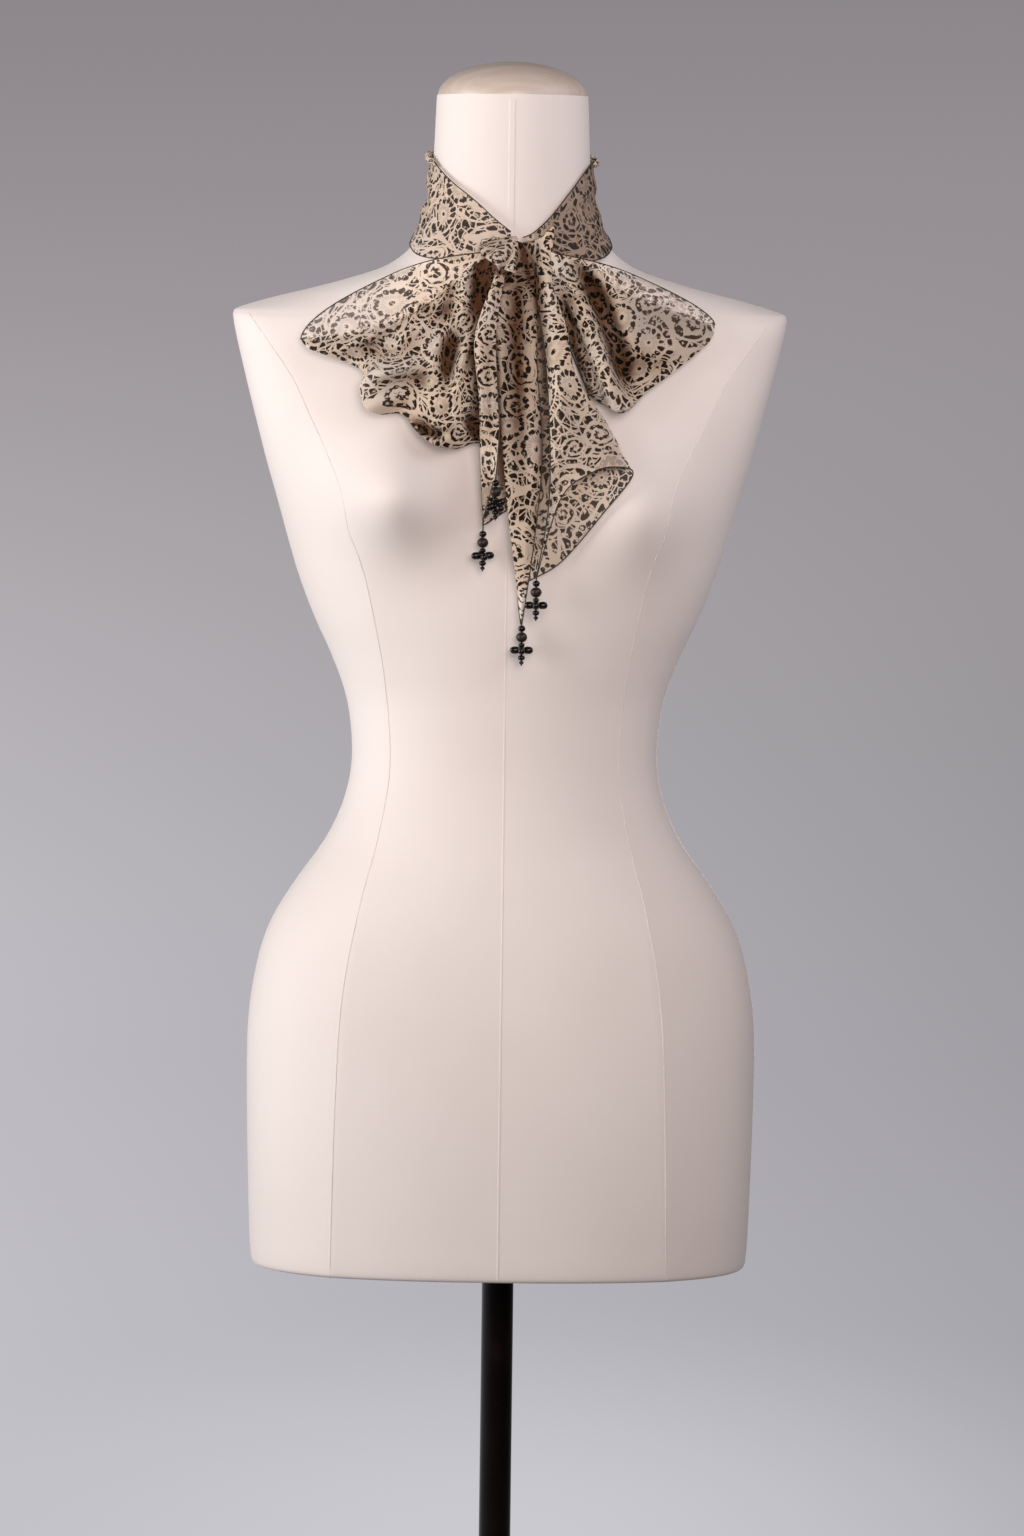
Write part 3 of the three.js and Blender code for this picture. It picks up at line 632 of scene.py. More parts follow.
def makeTorso():
    sides = torsoShape["sides"]
    rows = (len(formSections) - 1) * torsoShape["finer"]
    points = []
    for i in range(rows + 1):
        z, half, front, back, square = (smooth([section[k] for section in formSections], i / rows) for k in range(5))
        edge = panelEdge["lift"] * easeStep(z, *panelEdge["fades"])
        edge *= 0.45 + 0.55 * easeStep(abs(z - panelEdge["softAt"]), *panelEdge["softOver"])
        for k in range(sides):
            a = 2 * math.pi * k / sides
            c, sn = math.cos(a), math.sin(a)
            depth = front if sn < 0 else back
            reach = (abs(c / half) ** square + abs(sn / depth) ** square) ** (-1 / square)
            x, y = reach * c, reach * sn
            share = abs(y) / depth
            if sn < 0:
                for mound in bustMounds:
                    across = (x - mound["x"]) / mound["spread"]
                    up = (z - mound["height"]) / mound["rise"]
                    y -= mound["forward"] * math.exp(-0.5 * (across * across + up * up)) * share
            away = abs(abs(x) - seamAt(frontSeam if sn < 0 else backSeam, z))
            y += math.copysign(edge * math.exp(-away / panelEdge["reach"]) * math.sqrt(share), sn)
            points.append((x / 1000, y / 1000, z / 1000))
    faces = gridFaces(rows + 1, sides, closed=True)
    faces.append(tuple(range(sides))[::-1])
    faces.append(tuple(rows * sides + k for k in range(sides)))
    torso = meshObject("torso_cover", points, faces)
    activate(torso)
    bpy.ops.object.shade_smooth_by_angle(angle=math.radians(50))
    return torso


def onForm(bvh, start, direction):
    hit, normal, _, _ = bvh.ray_cast(Vector(start), Vector(direction))
    return hit, normal


# The points and normals where rays meet the form.
def pathOn(bvh, rays):
    return [found for found in (onForm(bvh, *ray) for ray in rays) if found[0]]


def curvedPath(bvh, points, front, steps):
    rays = []
    for i in range(steps + 1):
        x, z = (smooth([point[k] for point in points], i / steps) for k in (0, 1))
        rays.append(((x, -1 if front else 1, z), (0, 1 if front else -1, 0)))
    return pathOn(bvh, rays)


# A low strip along a path, with a full or a flat top.
def ribbon(path, width, lift, full):
    rim, top = (1.0, 1.0) if full else (0.8, 0.72)
    profile = [(-0.5, -0.4), (-0.46, 0.75), (-0.3, rim), (0.0, top), (0.3, rim), (0.46, 0.75), (0.5, -0.4)]
    points = []
    for i, (place, normal) in enumerate(path):
        ahead = (path[min(i + 1, len(path) - 1)][0] - path[max(i - 1, 0)][0]).normalized()
        across = normal.cross(ahead).normalized()
        for share, rise in profile:
            points.append(place + across * share * width + normal * rise * lift)
    made = meshObject("seam", points, gridFaces(len(path), len(profile), turned=True))
    activate(made)
    bpy.ops.object.shade_smooth()
    return made


def makeSeams(bvh, material):
    tape, middle, curved, side = (seams[name] for name in ("tape", "middle", "curved", "side"))
    pieces = []
    for front in (True, False):
        path = curvedPath(bvh, [(0.0, tape["from"]), (0.0, tape["to"])], front, 30)
        pieces.append(ribbon(path, tape["width"], tape["lift"], False))
        for high, low, lift in middle["parts"]:
            path = curvedPath(bvh, [(0.0, high), (0.0, low)], front, 80)
            pieces.append(ribbon(path, middle["width"], lift, True))
    paths = [curvedPath(bvh, [(way * x, z) for x, z in points], front, 140)
             for points, front in ((frontSeam, True), (backSeam, False)) for way in (-1, 1)]
    for way in (-1, 1):
        heights = [lerp(side["from"], side["to"], i / 80) for i in range(81)]
        paths.append(pathOn(bvh, [((way, 0.0, z), (-way, 0, 0)) for z in heights]))
    pieces += [ribbon(path, curved["width"], curved["lift"], True) for path in paths]
    finish(joinPieces("torso_seams", pieces), material)


# Turns a profile of radius and height round the Z axis.
def lathe(name, profile, sides):
    points = []
    for radius, height in profile:
        for i in range(sides):
            a = 2 * math.pi * i / sides
            points.append((radius * math.cos(a), radius * math.sin(a), height))
    made = meshObject(name, points, gridFaces(len(profile), sides, closed=True))
    mesh = bmesh.new()
    mesh.from_mesh(made.data)
    bmesh.ops.remove_doubles(mesh, verts=mesh.verts, dist=1e-6)
    bmesh.ops.recalc_face_normals(mesh, faces=mesh.faces)
    mesh.to_mesh(made.data)
    mesh.free()
    activate(made)
    bpy.ops.object.shade_smooth_by_angle(angle=math.radians(40))
    return made


capShape = {"wall": 0.002, "bevel": 0.001, "steps": 24}
# The gold line round the foot of the cap, out from its edge and up from its foot.
capLine = [(-0.0005, 0.0002), (0.0003, 0.0003), (0.0003, 0.0012), (-0.0005, 0.0014)]
baseRim = [(-0.002, 0), (0, 0.002), (0, 0.0055), (-0.0012, 0.0078), (-0.006, 0.0092)]  # out from its edge, and up
baseTop = [(0.06, -0.0012), (0.03, -0.0002), (0.012, 0), (0, 0)]  # radius, and up from its top


def makeCapAndStand(materials):
    low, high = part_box("form_cap")
    radius, foot, rise = high.x, low.z, high.z - low.z
    wall, bevel, steps = capShape["wall"], capShape["bevel"], capShape["steps"]
    profile = [(0, 0), (radius - bevel, 0), (radius, bevel), (radius, wall)]
    for i in range(1, steps + 1):
        a = math.pi / 2 * i / steps
        profile.append((radius * math.cos(a), wall + (rise - wall) * math.sin(a)))
    cap = lathe("neck_cap", [(r, foot + z) for r, z in profile], 96)
    finish(cap, materials["cap"], ["form_cap"])
    line = lathe("cap_line", [(radius + out, foot + up) for out, up in capLine], 96)
    finish(line, materials["gold"])

    low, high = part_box("stand_pole")
    pole = lathe("pole", [(0, low.z), (high.x, low.z), (high.x, high.z), (0, high.z)], 64)
    finish(pole, materials["stand"], ["stand_pole"])
    low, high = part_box("stand_base")
    rim = [(high.x + out, up) for out, up in baseRim]
    base = lathe("round_base", [(0, 0)] + rim + [(r, high.z + up) for r, up in baseTop], 128)
    finish(base, materials["stand"], ["stand_base"])


cloth = {
    "clearance": 1.2,  # mm over what the cloth lies on
    "hem": 0.00042,
    "shadeReach": 0.026,  # how far away other cloth still adds painted shade to a place, in metres
    "shadeRays": 10,
    "shadeOff": 0.0009,
    "shadeBlurs": 2,
}
knotShape = {"center": (0.008, -0.071, 1.407), "half": (0.0215, 0.011, 0.015), "squareness": 3.0,
             "tuckedIn": 0.002}

# Angle from the front to the left, top and bottom height, and how far each edge stands off the neck, in mm.
bandStations = [
    (0, 1424.5, 1405, 5.2, 5.2),
    (10, 1432.5, 1407, 5.5, 7),
    (20, 1441.5, 1406.5, 5, 9),
    (31, 1450, 1405, 5, 10),
    (45, 1458.5, 1405.5, 4, 10),
    (58, 1466, 1408, 3.2, 8.5),
    (72, 1473, 1414, 3, 6),
    (92, 1477, 1423, 2.8, 4),
    (135, 1482, 1427, 3, 5),
    (180, 1484, 1429, 3, 6),
    (225, 1481, 1427, 3, 5),
    (268, 1474, 1423, 2.8, 4),
    (288, 1471, 1414, 3, 6),
    (304, 1462.5, 1407, 3.3, 9),
    (320, 1449, 1404.5, 4.5, 10),
    (334, 1434.5, 1406, 6, 9),
    (345, 1424, 1407.5, 6, 7),
    (352, 1420.5, 1406, 5.2, 5.2),
]
bandShape = {"height": 55, "rolls": 5, "sway": 3, "roll": 1.5, "wrinkle": 1.3, "wrinkleSeed": 21.0, "closest": 1.8}

# The left end of the band fans out from the notch over the knot.
# Angle from the right turning up, how far the fold reaches, and the y of its rim, in mm.
fan = {
    "notch": (5.3, 1421.8),
    "depth": -62,
    "folds": 4,
    "ridge": 1.8,
    "wrinkle": 0.8,
    "wrinkleSeed": 51.0,
    "starts": 0.06,
    "tuck": 4.0,  # the rim rolls back under itself
    "tucked": (0.86, 1.0),
    "clearance": 0.9,
    "rim": [(186, 25, -64), (197, 27.5, -69), (208, 28, -76), (222, 26, -82), (238, 25, -86), (252, 25, -87),
            (266, 25.5, -87)],
}

# One row a line along the strip: where the loop turns, x and z; how far it is bent up behind and in front;
# and how far it stands off the form behind, at the turn, in front far from the knot and near it. In mm.
# Each crease is its half width, its lift (negative for a trough) and the x and z of its points.
loops = {
    "left": {
        "side": -1,
        "lines": [
            (142, 1349.5, 17, -12, 3, 7.5, 10, 10),
            (137, 1343.5, 13, -11, 3, 10, 15, 13),
            (123, 1338.5, 8, -6, 3, 10, 18, 20),
            (109, 1333.5, 4, 0, 3, 7.5, 12, 15),
            (98, 1327, 2, 2, 3, 8.5, 14, 18),
            (101.5, 1318.5, 1, 3, 3, 13, 21, 20),
            (97.5, 1304.5, 0, 2, 3, 14, 24, 17),
            (87, 1299.5, 0, 0, 3, 10, 18, 18),
            (72, 1300, 0, 0, 3, 7.5, 13, 22),
            (62.5, 1289, -2, 0, 3, 13, 23, 18),
            (49, 1279.5, -2, 0, 3, 16, 29, 22),
            (35, 1277, -3, 0, 3, 12, 22, 18),
            (24, 1281, -3, 0, 3, 7.5, 12, 11),
            (15, 1280, -3, 0, 3, 7.5, 11, 9.5),
        ],
        "creases": [
            (3.6, -11, [(-18, 1408), (-19.5, 1388), (-21, 1368)]),
            (2.6, 8, [(-29.5, 1403), (-31.5, 1387), (-30.5, 1369)]),
            (3.0, -7, [(-38, 1401), (-41, 1378), (-42, 1362)]),
            (5.0, 5, [(-50, 1402), (-52, 1388), (-47, 1372)]),
            (3.4, -6, [(-60, 1388), (-55, 1372), (-43, 1362)]),
            (2.2, 6, [(-42, 1361), (-50.5, 1343.5), (-52, 1326)]),
            (2.4, -6.5, [(-43, 1359), (-45, 1344), (-43.5, 1326)]),
            (2.3, 8.5, [(-28.6, 1349), (-34.4, 1328), (-33.2, 1314)]),
            (3.0, -9, [(-37, 1356), (-39, 1338), (-41, 1318)]),
            (4.0, 4, [(-44, 1362), (-65.6, 1357.5), (-82, 1350)]),
            (4.2, -6, [(-106, 1348), (-80, 1340), (-56, 1343)]),
            (4.0, 6, [(-101, 1325), (-79, 1331), (-55, 1337)]),
            (3.2, -6, [(-97, 1317), (-72, 1322), (-50, 1325)]),
            (3.8, 5, [(-94, 1305), (-72, 1311.5), (-48, 1311.5), (-34, 1316)]),
            (3.4, -7, [(-71, 1292), (-49.5, 1299), (-32, 1303)]),
            (3.2, 6, [(-57, 1298), (-40, 1295), (-29.5, 1308)]),
            (2.3, -10, [(-61, 1291), (-51, 1288.5), (-42, 1287)]),
            (2.2, -9, [(-29, 1300), (-24, 1292), (-19, 1286)]),
        ],
        # painted shade only, not pressed in
        "shadeOnly": [(5, -4, [(-22, 1400), (-26, 1375), (-26, 1345)])],
    },
    "right": {
        "side": 1,
        "lines": [
            (139.6, 1363, 10, 2, 3, 7.5, 10, 10),
            (138, 1354, 8, 0, 3, 9, 14, 12),
            (129.5, 1345, 5, -5, 3, 9, 14, 11),
            (116, 1334, 3, -6, 3, 8, 12, 9),
            (102.5, 1323.5, 2, -4, 3, 8, 10, 8),
            (91, 1314.5, 0, 2, 3, 9, 13, 14),
            (82, 1304.5, 0, 5, 3, 13, 24, 25),
            (73, 1302.5, 0, 5, 3, 13, 25, 25),
            (66, 1307, 0, 4, 3, 8.5, 16, 15),
            (59.5, 1310, 1, 4, 3, 7.5, 12, 13),
            (54, 1314, 2, 4, 3, 7, 11, 11),
        ],
        "creases": [
            (4.0, 8, [(34, 1402), (46, 1386), (52.5, 1374), (59, 1356), (65.5, 1338), (73, 1316)]),
            (3.6, -12, [(42, 1403), (55, 1387), (62.5, 1373), (69, 1354), (74, 1337), (80, 1317)]),
            (3.0, -6, [(35, 1384), (43.5, 1346), (50, 1316)]),
            (1.7, -4, [(34, 1392), (42, 1390), (50, 1383)]),
            (1.7, -4, [(38, 1379), (47, 1380), (55, 1371)]),
            (5.0, 4, [(66, 1396), (88, 1388), (110, 1378)]),
            (3.0, -3, [(72, 1388), (96, 1381), (118, 1371)]),
            (4.0, 3, [(86, 1352), (100, 1346), (118, 1347)]),
            (3.0, -4, [(84, 1338), (98, 1333), (112, 1336)]),
            (2.6, 4, [(60, 1306), (74, 1303), (86, 1306)]),
        ],
        "shadeOnly": [(8, -7, [(50, 1396), (63, 1372), (73, 1347), (81, 1322)])],  # painted shade only, not pressed in
    },
}
gather = {"depth": -61, "top": 1411, "bottom": 1394.5, "back": 3.5, "front": 11.5, "plain": 15, "closest": 4.5,
          "over": 3.0}
# Where along a loop, from the knot at 0 to the turn at 1, each change begins and ends.
loopShape = {"bulge": 1.15, "bends": 0.55, "opens": (0.08, 0.7), "wrinkles": (0, 0.3), "settles": (0.88, 1.0),
             "reachesForm": (0, 0.45), "lies": (0.85, 1.0)}

# One row a line down the cloth: the height it starts at, x at six levels from there to the hem, the length
# under the knot, and how far it stands off at each level. In mm.
tails = {
    "front": {
        "lines": [
            (1417, (8, 17, 19, 23, 18.5, 10.8), 233, (11, 17, 19, 15, 13, 8)),
            (1418, (5, 6, 9, 15, 13, 9.8), 231, (12, 19, 21, 19, 16, 9)),
            (1418, (2.5, -9, -9, -5, 0.5, 8.0), 213, (10, 15, 17, 16, 13, 6)),
            (1417, (5, 2, 4, 8, 12, 12.8), 205, (7, 9, 9, 9, 8, 4)),
            (1417, (10, 12, 18, 24, 29, 37), 190, (7, 8, 8, 9, 7, 4)),
            (1419, (17, 17, 28, 37, 52, 66), 155, (9, 12, 11, 13, 9, 5)),
            (1422, (23, 23, 35, 42.5, 66, 84.5), 130, (13, 17, 17, 18, 13, 10)),
            (1427, (29, 28.5, 38.5, 45, 62, 73), 125, (15, 24, 26, 24, 20, 16)),
            (1428, (29, 26, 35, 42, 51, 57), 129, (16, 26, 29, 27, 22, 18)),
            (1427, (26, 20.5, 29, 36, 38.5, 36), 147, (15, 25, 28, 27, 22, 17)),
            (1423, (23, 17.5, 24.5, 28, 28, 20.2), 201, (12, 20, 25, 24, 20, 15)),
        ],
        "leaf": {"z": 1371, "size": 14, "push": 9.5, "line": 0.2, "width": 0.13},
        "seed": 31.0,
        "flare": 0.4,  # painted light: how much paler and sheerer its wide flap is made, as if lit through the silk
        "creases": [
            (2.8, -5, [(17, 1406), (19.5, 1385), (24, 1345), (25, 1300), (23, 1250)]),
            (1.6, -3.5, [(7, 1417), (11, 1402), (14, 1386)]),
            (1.8, 3, [(5, 1414), (3.5, 1402), (3, 1388)]),
            (1.6, -3.5, [(4, 1412), (-1.5, 1398), (-6, 1384)]),
            (3.0, 3, [(-4, 1392), (-9, 1368), (-3, 1330), (0, 1290)]),
            (3.4, -3, [(4, 1386), (4, 1340), (8, 1290), (9, 1230)]),
            (2.4, -3, [(22, 1246), (20, 1222), (18, 1200)]),
            (4.0, 3, [(33, 1330), (36, 1300), (48, 1280)]),
        ],
    },
    "back": {
        "lines": [
            (1394, (-5, -4, -9, -8, -6, -8), 134, (24, 27, 27, 25, 26, 30)),
            (1394, (-8, -8, -15, -13, -11, -10), 138, (24, 29, 31, 28, 23, 17)),
            (1394, (-11, -11, -23, -19, -16, -13), 150, (22, 28, 28, 24, 20, 14)),
            (1394, (-11, -11, -22, -19.5, -18.5, -16.3), 165, (21, 23, 21, 18, 14, 8.5)),
            (1394, (-7, -6, -12, -11, -9, -7), 160, (14, 16, 15, 13, 9, 4.5)),
            (1394, (1, 0, -1, 0, 2, 5), 152, (12, 12, 12, 11, 8, 4)),
        ],
        "leaf": None,
        "seed": 37.0,
        "flare": 0,
        "creases": [
            (2.4, 3, [(-22, 1352), (-20, 1320), (-17, 1290)]),
            (2.2, -3, [(-14, 1360), (-14, 1320), (-12, 1280)]),
        ],
    },
}
knotBottom = 1391.7
# How far off the form a tail is creased, in mm, and where down it the creases end and the wrinkles begin.
tailShape = {"creased": (9, 14), "settles": (0.9, 1.0), "wrinkles": (0.1, 0.3)}


# How far the creases lift the cloth at a place.
def creaseLift(creases, x, z):
    total = 0.0
    for width, lift, points in creases:
        nearest, share = 1e9, 0.0
        for i in range(len(points) - 1):
            (ax, az), (bx, bz) = points[i], points[i + 1]
            dx, dz = bx - ax, bz - az
            t = min(max(((x - ax) * dx + (z - az) * dz) / (dx * dx + dz * dz), 0.0), 1.0)
            distance = math.hypot(x - ax - dx * t, z - az - dz * t)
            if distance < nearest:
                nearest, share = distance, (i + t) / (len(points) - 1)
        taper = min(1.0, 0.35 + 3.5 * share, 0.25 + 3.5 * (1 - share))
        total += lift * taper * math.exp(-0.5 * (nearest / width) ** 2)
    return total


# The y of what stands at x and z, seen from the front, in mm.
def frontOf(bvh, x, z):
    hit, _ = onForm(bvh, (x / 1000, -1, z / 1000), (0, 1, 0))
    return 1000 * hit.y if hit else -30.0


# Soft uneven wrinkles that run along the cloth, in mm.
def wrinkle(across, along, seed):
    long_ = noise.noise(Vector((across * 9.0, along * 2.2, seed)))
    fine = noise.noise(Vector((across * 24.0, along * 5.0, seed + 7.0)))
    cross = noise.noise(Vector((across * 7.0, along * 17.0, seed + 3.0)))
    return long_ + 0.45 * fine + 0.3 * cross


def knotSide(side, y, z):
    center, half, power = knotShape["center"], knotShape["half"], knotShape["squareness"]
    share = abs((y - center[1]) / half[1]) ** power + abs((z - center[2]) / half[2]) ** power
    return center[0] + side * (half[0] * max(1 - share, 0) ** (1 / power) - knotShape["tuckedIn"])


# Along a loop, 0 is the knot behind, 0.5 the turn and 1 the knot in front. Across it, 0 is the upper edge.
def loopPoint(under, loop, across, along):
    def read(column):
        return smooth([line[column] for line in loop["lines"]], across)
    side = loop["side"]
    inFront = along >= 0.5
    reach = 2 - 2 * along if inFront else 2 * along
    ease = math.sin(math.pi / 2 * reach) ** loopShape["bulge"]
    startZ = lerp(gather["top"], gather["bottom"], across)
    startOff = gather["front"] if inFront else gather["back"]
    startX = 1000 * knotSide(side, (gather["depth"] - startOff) / 1000, startZ / 1000)
    x = lerp(startX, side * read(0), ease)
    swell = math.sin(math.pi * ease)
    if not inFront:
        swell = math.sin(math.pi / 2 * min(1, ease / loopShape["bends"])) * math.sqrt(max(1 - ease ** 6, 0))
    z = lerp(startZ, read(1), ease) + read(3 if inFront else 2) * swell
    middle = [read(7), read(6)] if inFront else [read(4), read(4)]
    plain = gather["plain"] if inFront else read(4)
    off = lerp(smooth([startOff, plain, plain, read(5)], reach),
               smooth([startOff] + middle + [read(5)], reach), easeStep(reach, *loopShape["opens"]))
    off += wrinkle(across, along, 3.0 + side) * easeStep(reach, *loopShape["wrinkles"])
    if inFront:
        settled = 1 - easeStep(reach, *loopShape["settles"])
        off = max(off + settled * creaseLift(loop["creases"], x, z), gather["closest"])
    form = frontOf(under["form"], x, z)
    rest = lerp(gather["depth"], form, easeStep(reach, *loopShape["reachesForm"]))
    clear = cloth["clearance"]
    if inFront:
        clear += gather["over"] * (1 - easeStep(reach, *loopShape["lies"]))
    y = min(rest - off, form - clear, frontOf(under["dressed"], x, z) - clear)
    return Vector((x, y, z)) / 1000


def tailPoint(under, tail, across, down):
    def read(column):
        return smooth([line[column] for line in tail["lines"]], across)

    def readLevels(column):
        return smooth([smooth([line[column][k] for line in tail["lines"]], across) for k in range(6)], down)
    x, off = readLevels(1), readLevels(3)
    z = smooth([read(0)] + [knotBottom - read(2) * k / 4 for k in range(5)], down)
    leaf = tail["leaf"]
    if leaf:
        share = max(0.0, 1 - abs(across - leaf["line"]) / leaf["width"])
        x -= leaf["push"] * easeStep(share, 0, 1) * math.exp(-((z - leaf["z"]) / leaf["size"]) ** 2)
    inFront = easeStep(off, *tailShape["creased"])
    settled = 1 - easeStep(down, *tailShape["settles"])
    off += inFront * settled * creaseLift(tail["creases"], x, z)
    off += wrinkle(across, down, tail["seed"]) * easeStep(down, *tailShape["wrinkles"])
    form = frontOf(under["form"], x, z)
    y = min(form - off, form - cloth["clearance"], frontOf(under["dressed"], x, z) - cloth["clearance"])
    return Vector((x, y, z)) / 1000


def bandPoint(under, across, along):
    def read(column):
        return smooth([station[column] for station in bandStations], along)
    turn = math.radians(read(0))
    z = lerp(read(1), read(2), across)
    settled = math.sin(math.pi * across) * (read(1) - read(2)) / bandShape["height"]
    roll = math.sin(math.pi * (bandShape["rolls"] * across + bandShape["sway"] * math.sin(turn)))
    gap = lerp(read(3), read(4), across ** 1.6) + bandShape["roll"] * roll * settled
    uneven = wrinkle(along * 1.5, across * 1.2, bandShape["wrinkleSeed"])
    gap += bandShape["wrinkle"] * uneven * (0.3 + 0.7 * settled)
    way = Vector((-math.sin(turn), -math.cos(turn), 0))
    hit, _ = onForm(under["form"], way + Vector((0, 0, z / 1000)), -way)
    return hit + way * max(gap, bandShape["closest"]) / 1000


def fanRidge(across):
    return math.sin(2 * math.pi * fan["folds"] * (across + 0.1 * math.sin(5 * across)))


def fanPoint(under, across, along):
    def read(column):
        return smooth([row[column] for row in fan["rim"]], across)
    angle, reach = math.radians(read(0)), lerp(fan["starts"], 1.0, along)
    x = fan["notch"][0] + read(1) * reach * math.cos(angle)
    z = fan["notch"][1] + read(1) * reach * math.sin(angle)
    y = lerp(fan["depth"], read(2), reach ** 0.8) - fan["ridge"] * fanRidge(across) * math.sqrt(reach)
    y -= fan["wrinkle"] * wrinkle(across, along, fan["wrinkleSeed"])
    y += fan["tuck"] * easeStep(along, *fan["tucked"])
    y = min(y, frontOf(under["dressed"], x, z) - fan["clearance"])
    return Vector((x, y, z)) / 1000


# Where each sheet is painted with shade, in mm, and how strongly. A crease as deep as "full" is shaded in full.
tones = {
    "loop": {"paleOut": (58, 100), "paleUp": (1336, 1366), "knot": 0.55, "knotAt": 12, "knotSpread": 12, "full": 8},
    "tail": {"middle": 0.84, "middleAt": 5, "middleSpread": 13, "middleUp": (1235, 1330), "flap": 0.4,
             "flapFrom": (0.3, 0.4), "flapTo": (0.66, 0.6), "flapDown": (1275, 1262), "flareFrom": (0.6, 0.7),
             "flareDown": (1325, 1290), "full": 7},
    "band": {"all": 0.34, "right": 0.4, "rightFrom": (8, 26), "alongFrom": (0.6, 0.7)},
    "fan": {"all": 0.25, "folds": 0.5},
}


# The painted shade in the creases' troughs.
def trough(creases, x, z, full):
    return max(-creaseLift(creases, x, z) / full, 0.0)


# The painted shade of each sheet at a point: above 0 in a trough, and below 0 where it is pale and sheer.
def loopShading(loop, across, along, x, z):
    tone = tones["loop"]
    pale = easeStep(abs(x), *tone["paleOut"]) * easeStep(z, *tone["paleUp"])
    if along < 0.5:
        return -pale
    # Painted shade round the knot and in the troughs, on the layer in front.
    near = tone["knot"] * math.exp(-((abs(x) - tone["knotAt"]) / tone["knotSpread"]) ** 2)
    return min(near + trough(loop["paintedShade"], x, z, tone["full"]), 1.0) - pale


def tailShading(tail, across, along, x, z):
    tone = tones["tail"]
    # Painted shade down the tail's middle and on its turned flap; its flare is painted paler, as if lit through the
    # silk.
    depth = tone["middle"] * math.exp(-((x - tone["middleAt"]) / tone["middleSpread"]) ** 2)
    depth *= easeStep(z, *tone["middleUp"])
    flap = easeStep(across, *tone["flapFrom"]) * easeStep(across, *tone["flapTo"])
    depth += tone["flap"] * flap * easeStep(z, *tone["flapDown"])
    flare = tail["flare"] * easeStep(across, *tone["flareFrom"]) * easeStep(z, *tone["flareDown"])
    return min(trough(tail["creases"], x, z, tone["full"]) + depth, 1.0) - flare


# Painted shade over the whole band, and more on its right side, which faces away from the key light.
def bandShading(across, along, x, z):
    tone = tones["band"]
    return tone["all"] + tone["right"] * easeStep(x, *tone["rightFrom"]) * easeStep(along, *tone["alongFrom"])


# Painted shade over the fan, and more in the troughs of its folds.
def fanShading(across, along, x, z):
    return tones["fan"]["all"] + tones["fan"]["folds"] * max(-fanRidge(across), 0.0) * along


# Gives the sheet its own cloth coordinates in metres.
def layFlat(sheet, seed):
    sheet.data.uv_layers.new(name="cloth")
    activate(sheet)
    bpy.ops.object.mode_set(mode="EDIT")
    bpy.ops.mesh.select_all(action="SELECT")
    bpy.ops.uv.unwrap(method="MINIMUM_STRETCH", iterations=12, margin=0.0)
    bpy.ops.object.mode_set(mode="OBJECT")
    data = sheet.data
    uv = [tuple(loop.uv) for loop in data.uv_layers["cloth"].data]
    real = flat = 0.0
    for face in data.polygons:
        real += face.area
        corner = [uv[i] for i in face.loop_indices]
        flat += abs(sum(corner[i - 1][0] * c[1] - c[0] * corner[i - 1][1] for i, c in enumerate(corner))) / 2
    scale = math.sqrt(real / max(flat, 1e-12))
    for loop in data.uv_layers["cloth"].data:
        loop.uv = (loop.uv[0] * scale + seed * 0.37, loop.uv[1] * scale + seed * 0.21)


# A sheet on a grid of points, with painted shade at each point, laid flat for its print, then made finer.
def clothSheet(name, point, depth, steps, seed, flipped):
    across, along = steps
    shares = [(a / across, s / along) for a in range(across + 1) for s in range(along + 1)]
    points = [point(*share) for share in shares]
    faces = gridFaces(across + 1, along + 1, turned=True)
    sheet = meshObject(name, points, [face[::-1] for face in faces] if flipped else faces)
    # Each point's painted shade, below 0 where it is pale.
    shadeAndPale = sheet.data.attributes.new("shadeAndPale", "FLOAT", "POINT")
    for value, share, place in zip(shadeAndPale.data, shares, points):
        value.value = depth(*share, place.x * 1000, place.z * 1000)
    layFlat(sheet, seed)
    activate(sheet)
    finer = sheet.modifiers.new("finer", "SUBSURF")
    finer.levels = finer.render_levels = 1
    bpy.ops.object.modifier_apply(modifier=finer.name)
    bpy.ops.object.shade_smooth()
    return sheet


# The rolled hems of a sheet, each from one (across, along) to another.
def makeHems(name, point, hems, material):
    steps = 120
    runs = [[point(*(lerp(a, b, i / steps) for a, b in zip(start, end))) for i in range(steps + 1)]
            for start, end in hems]
    made = tubes(name, runs, cloth["hem"], True)
    finish(made, material)
    return made


# Round the back, the band's upper edge is twisted into a roll. Its radius is in mm.
rollShape = {"from": 0.325, "to": 0.695, "steps": 260, "sides": 12, "radius": 2.1, "sinks": 0.0012, "lobes": 3,
             "lobe": 0.24, "uneven": 0.1, "twist": 900}


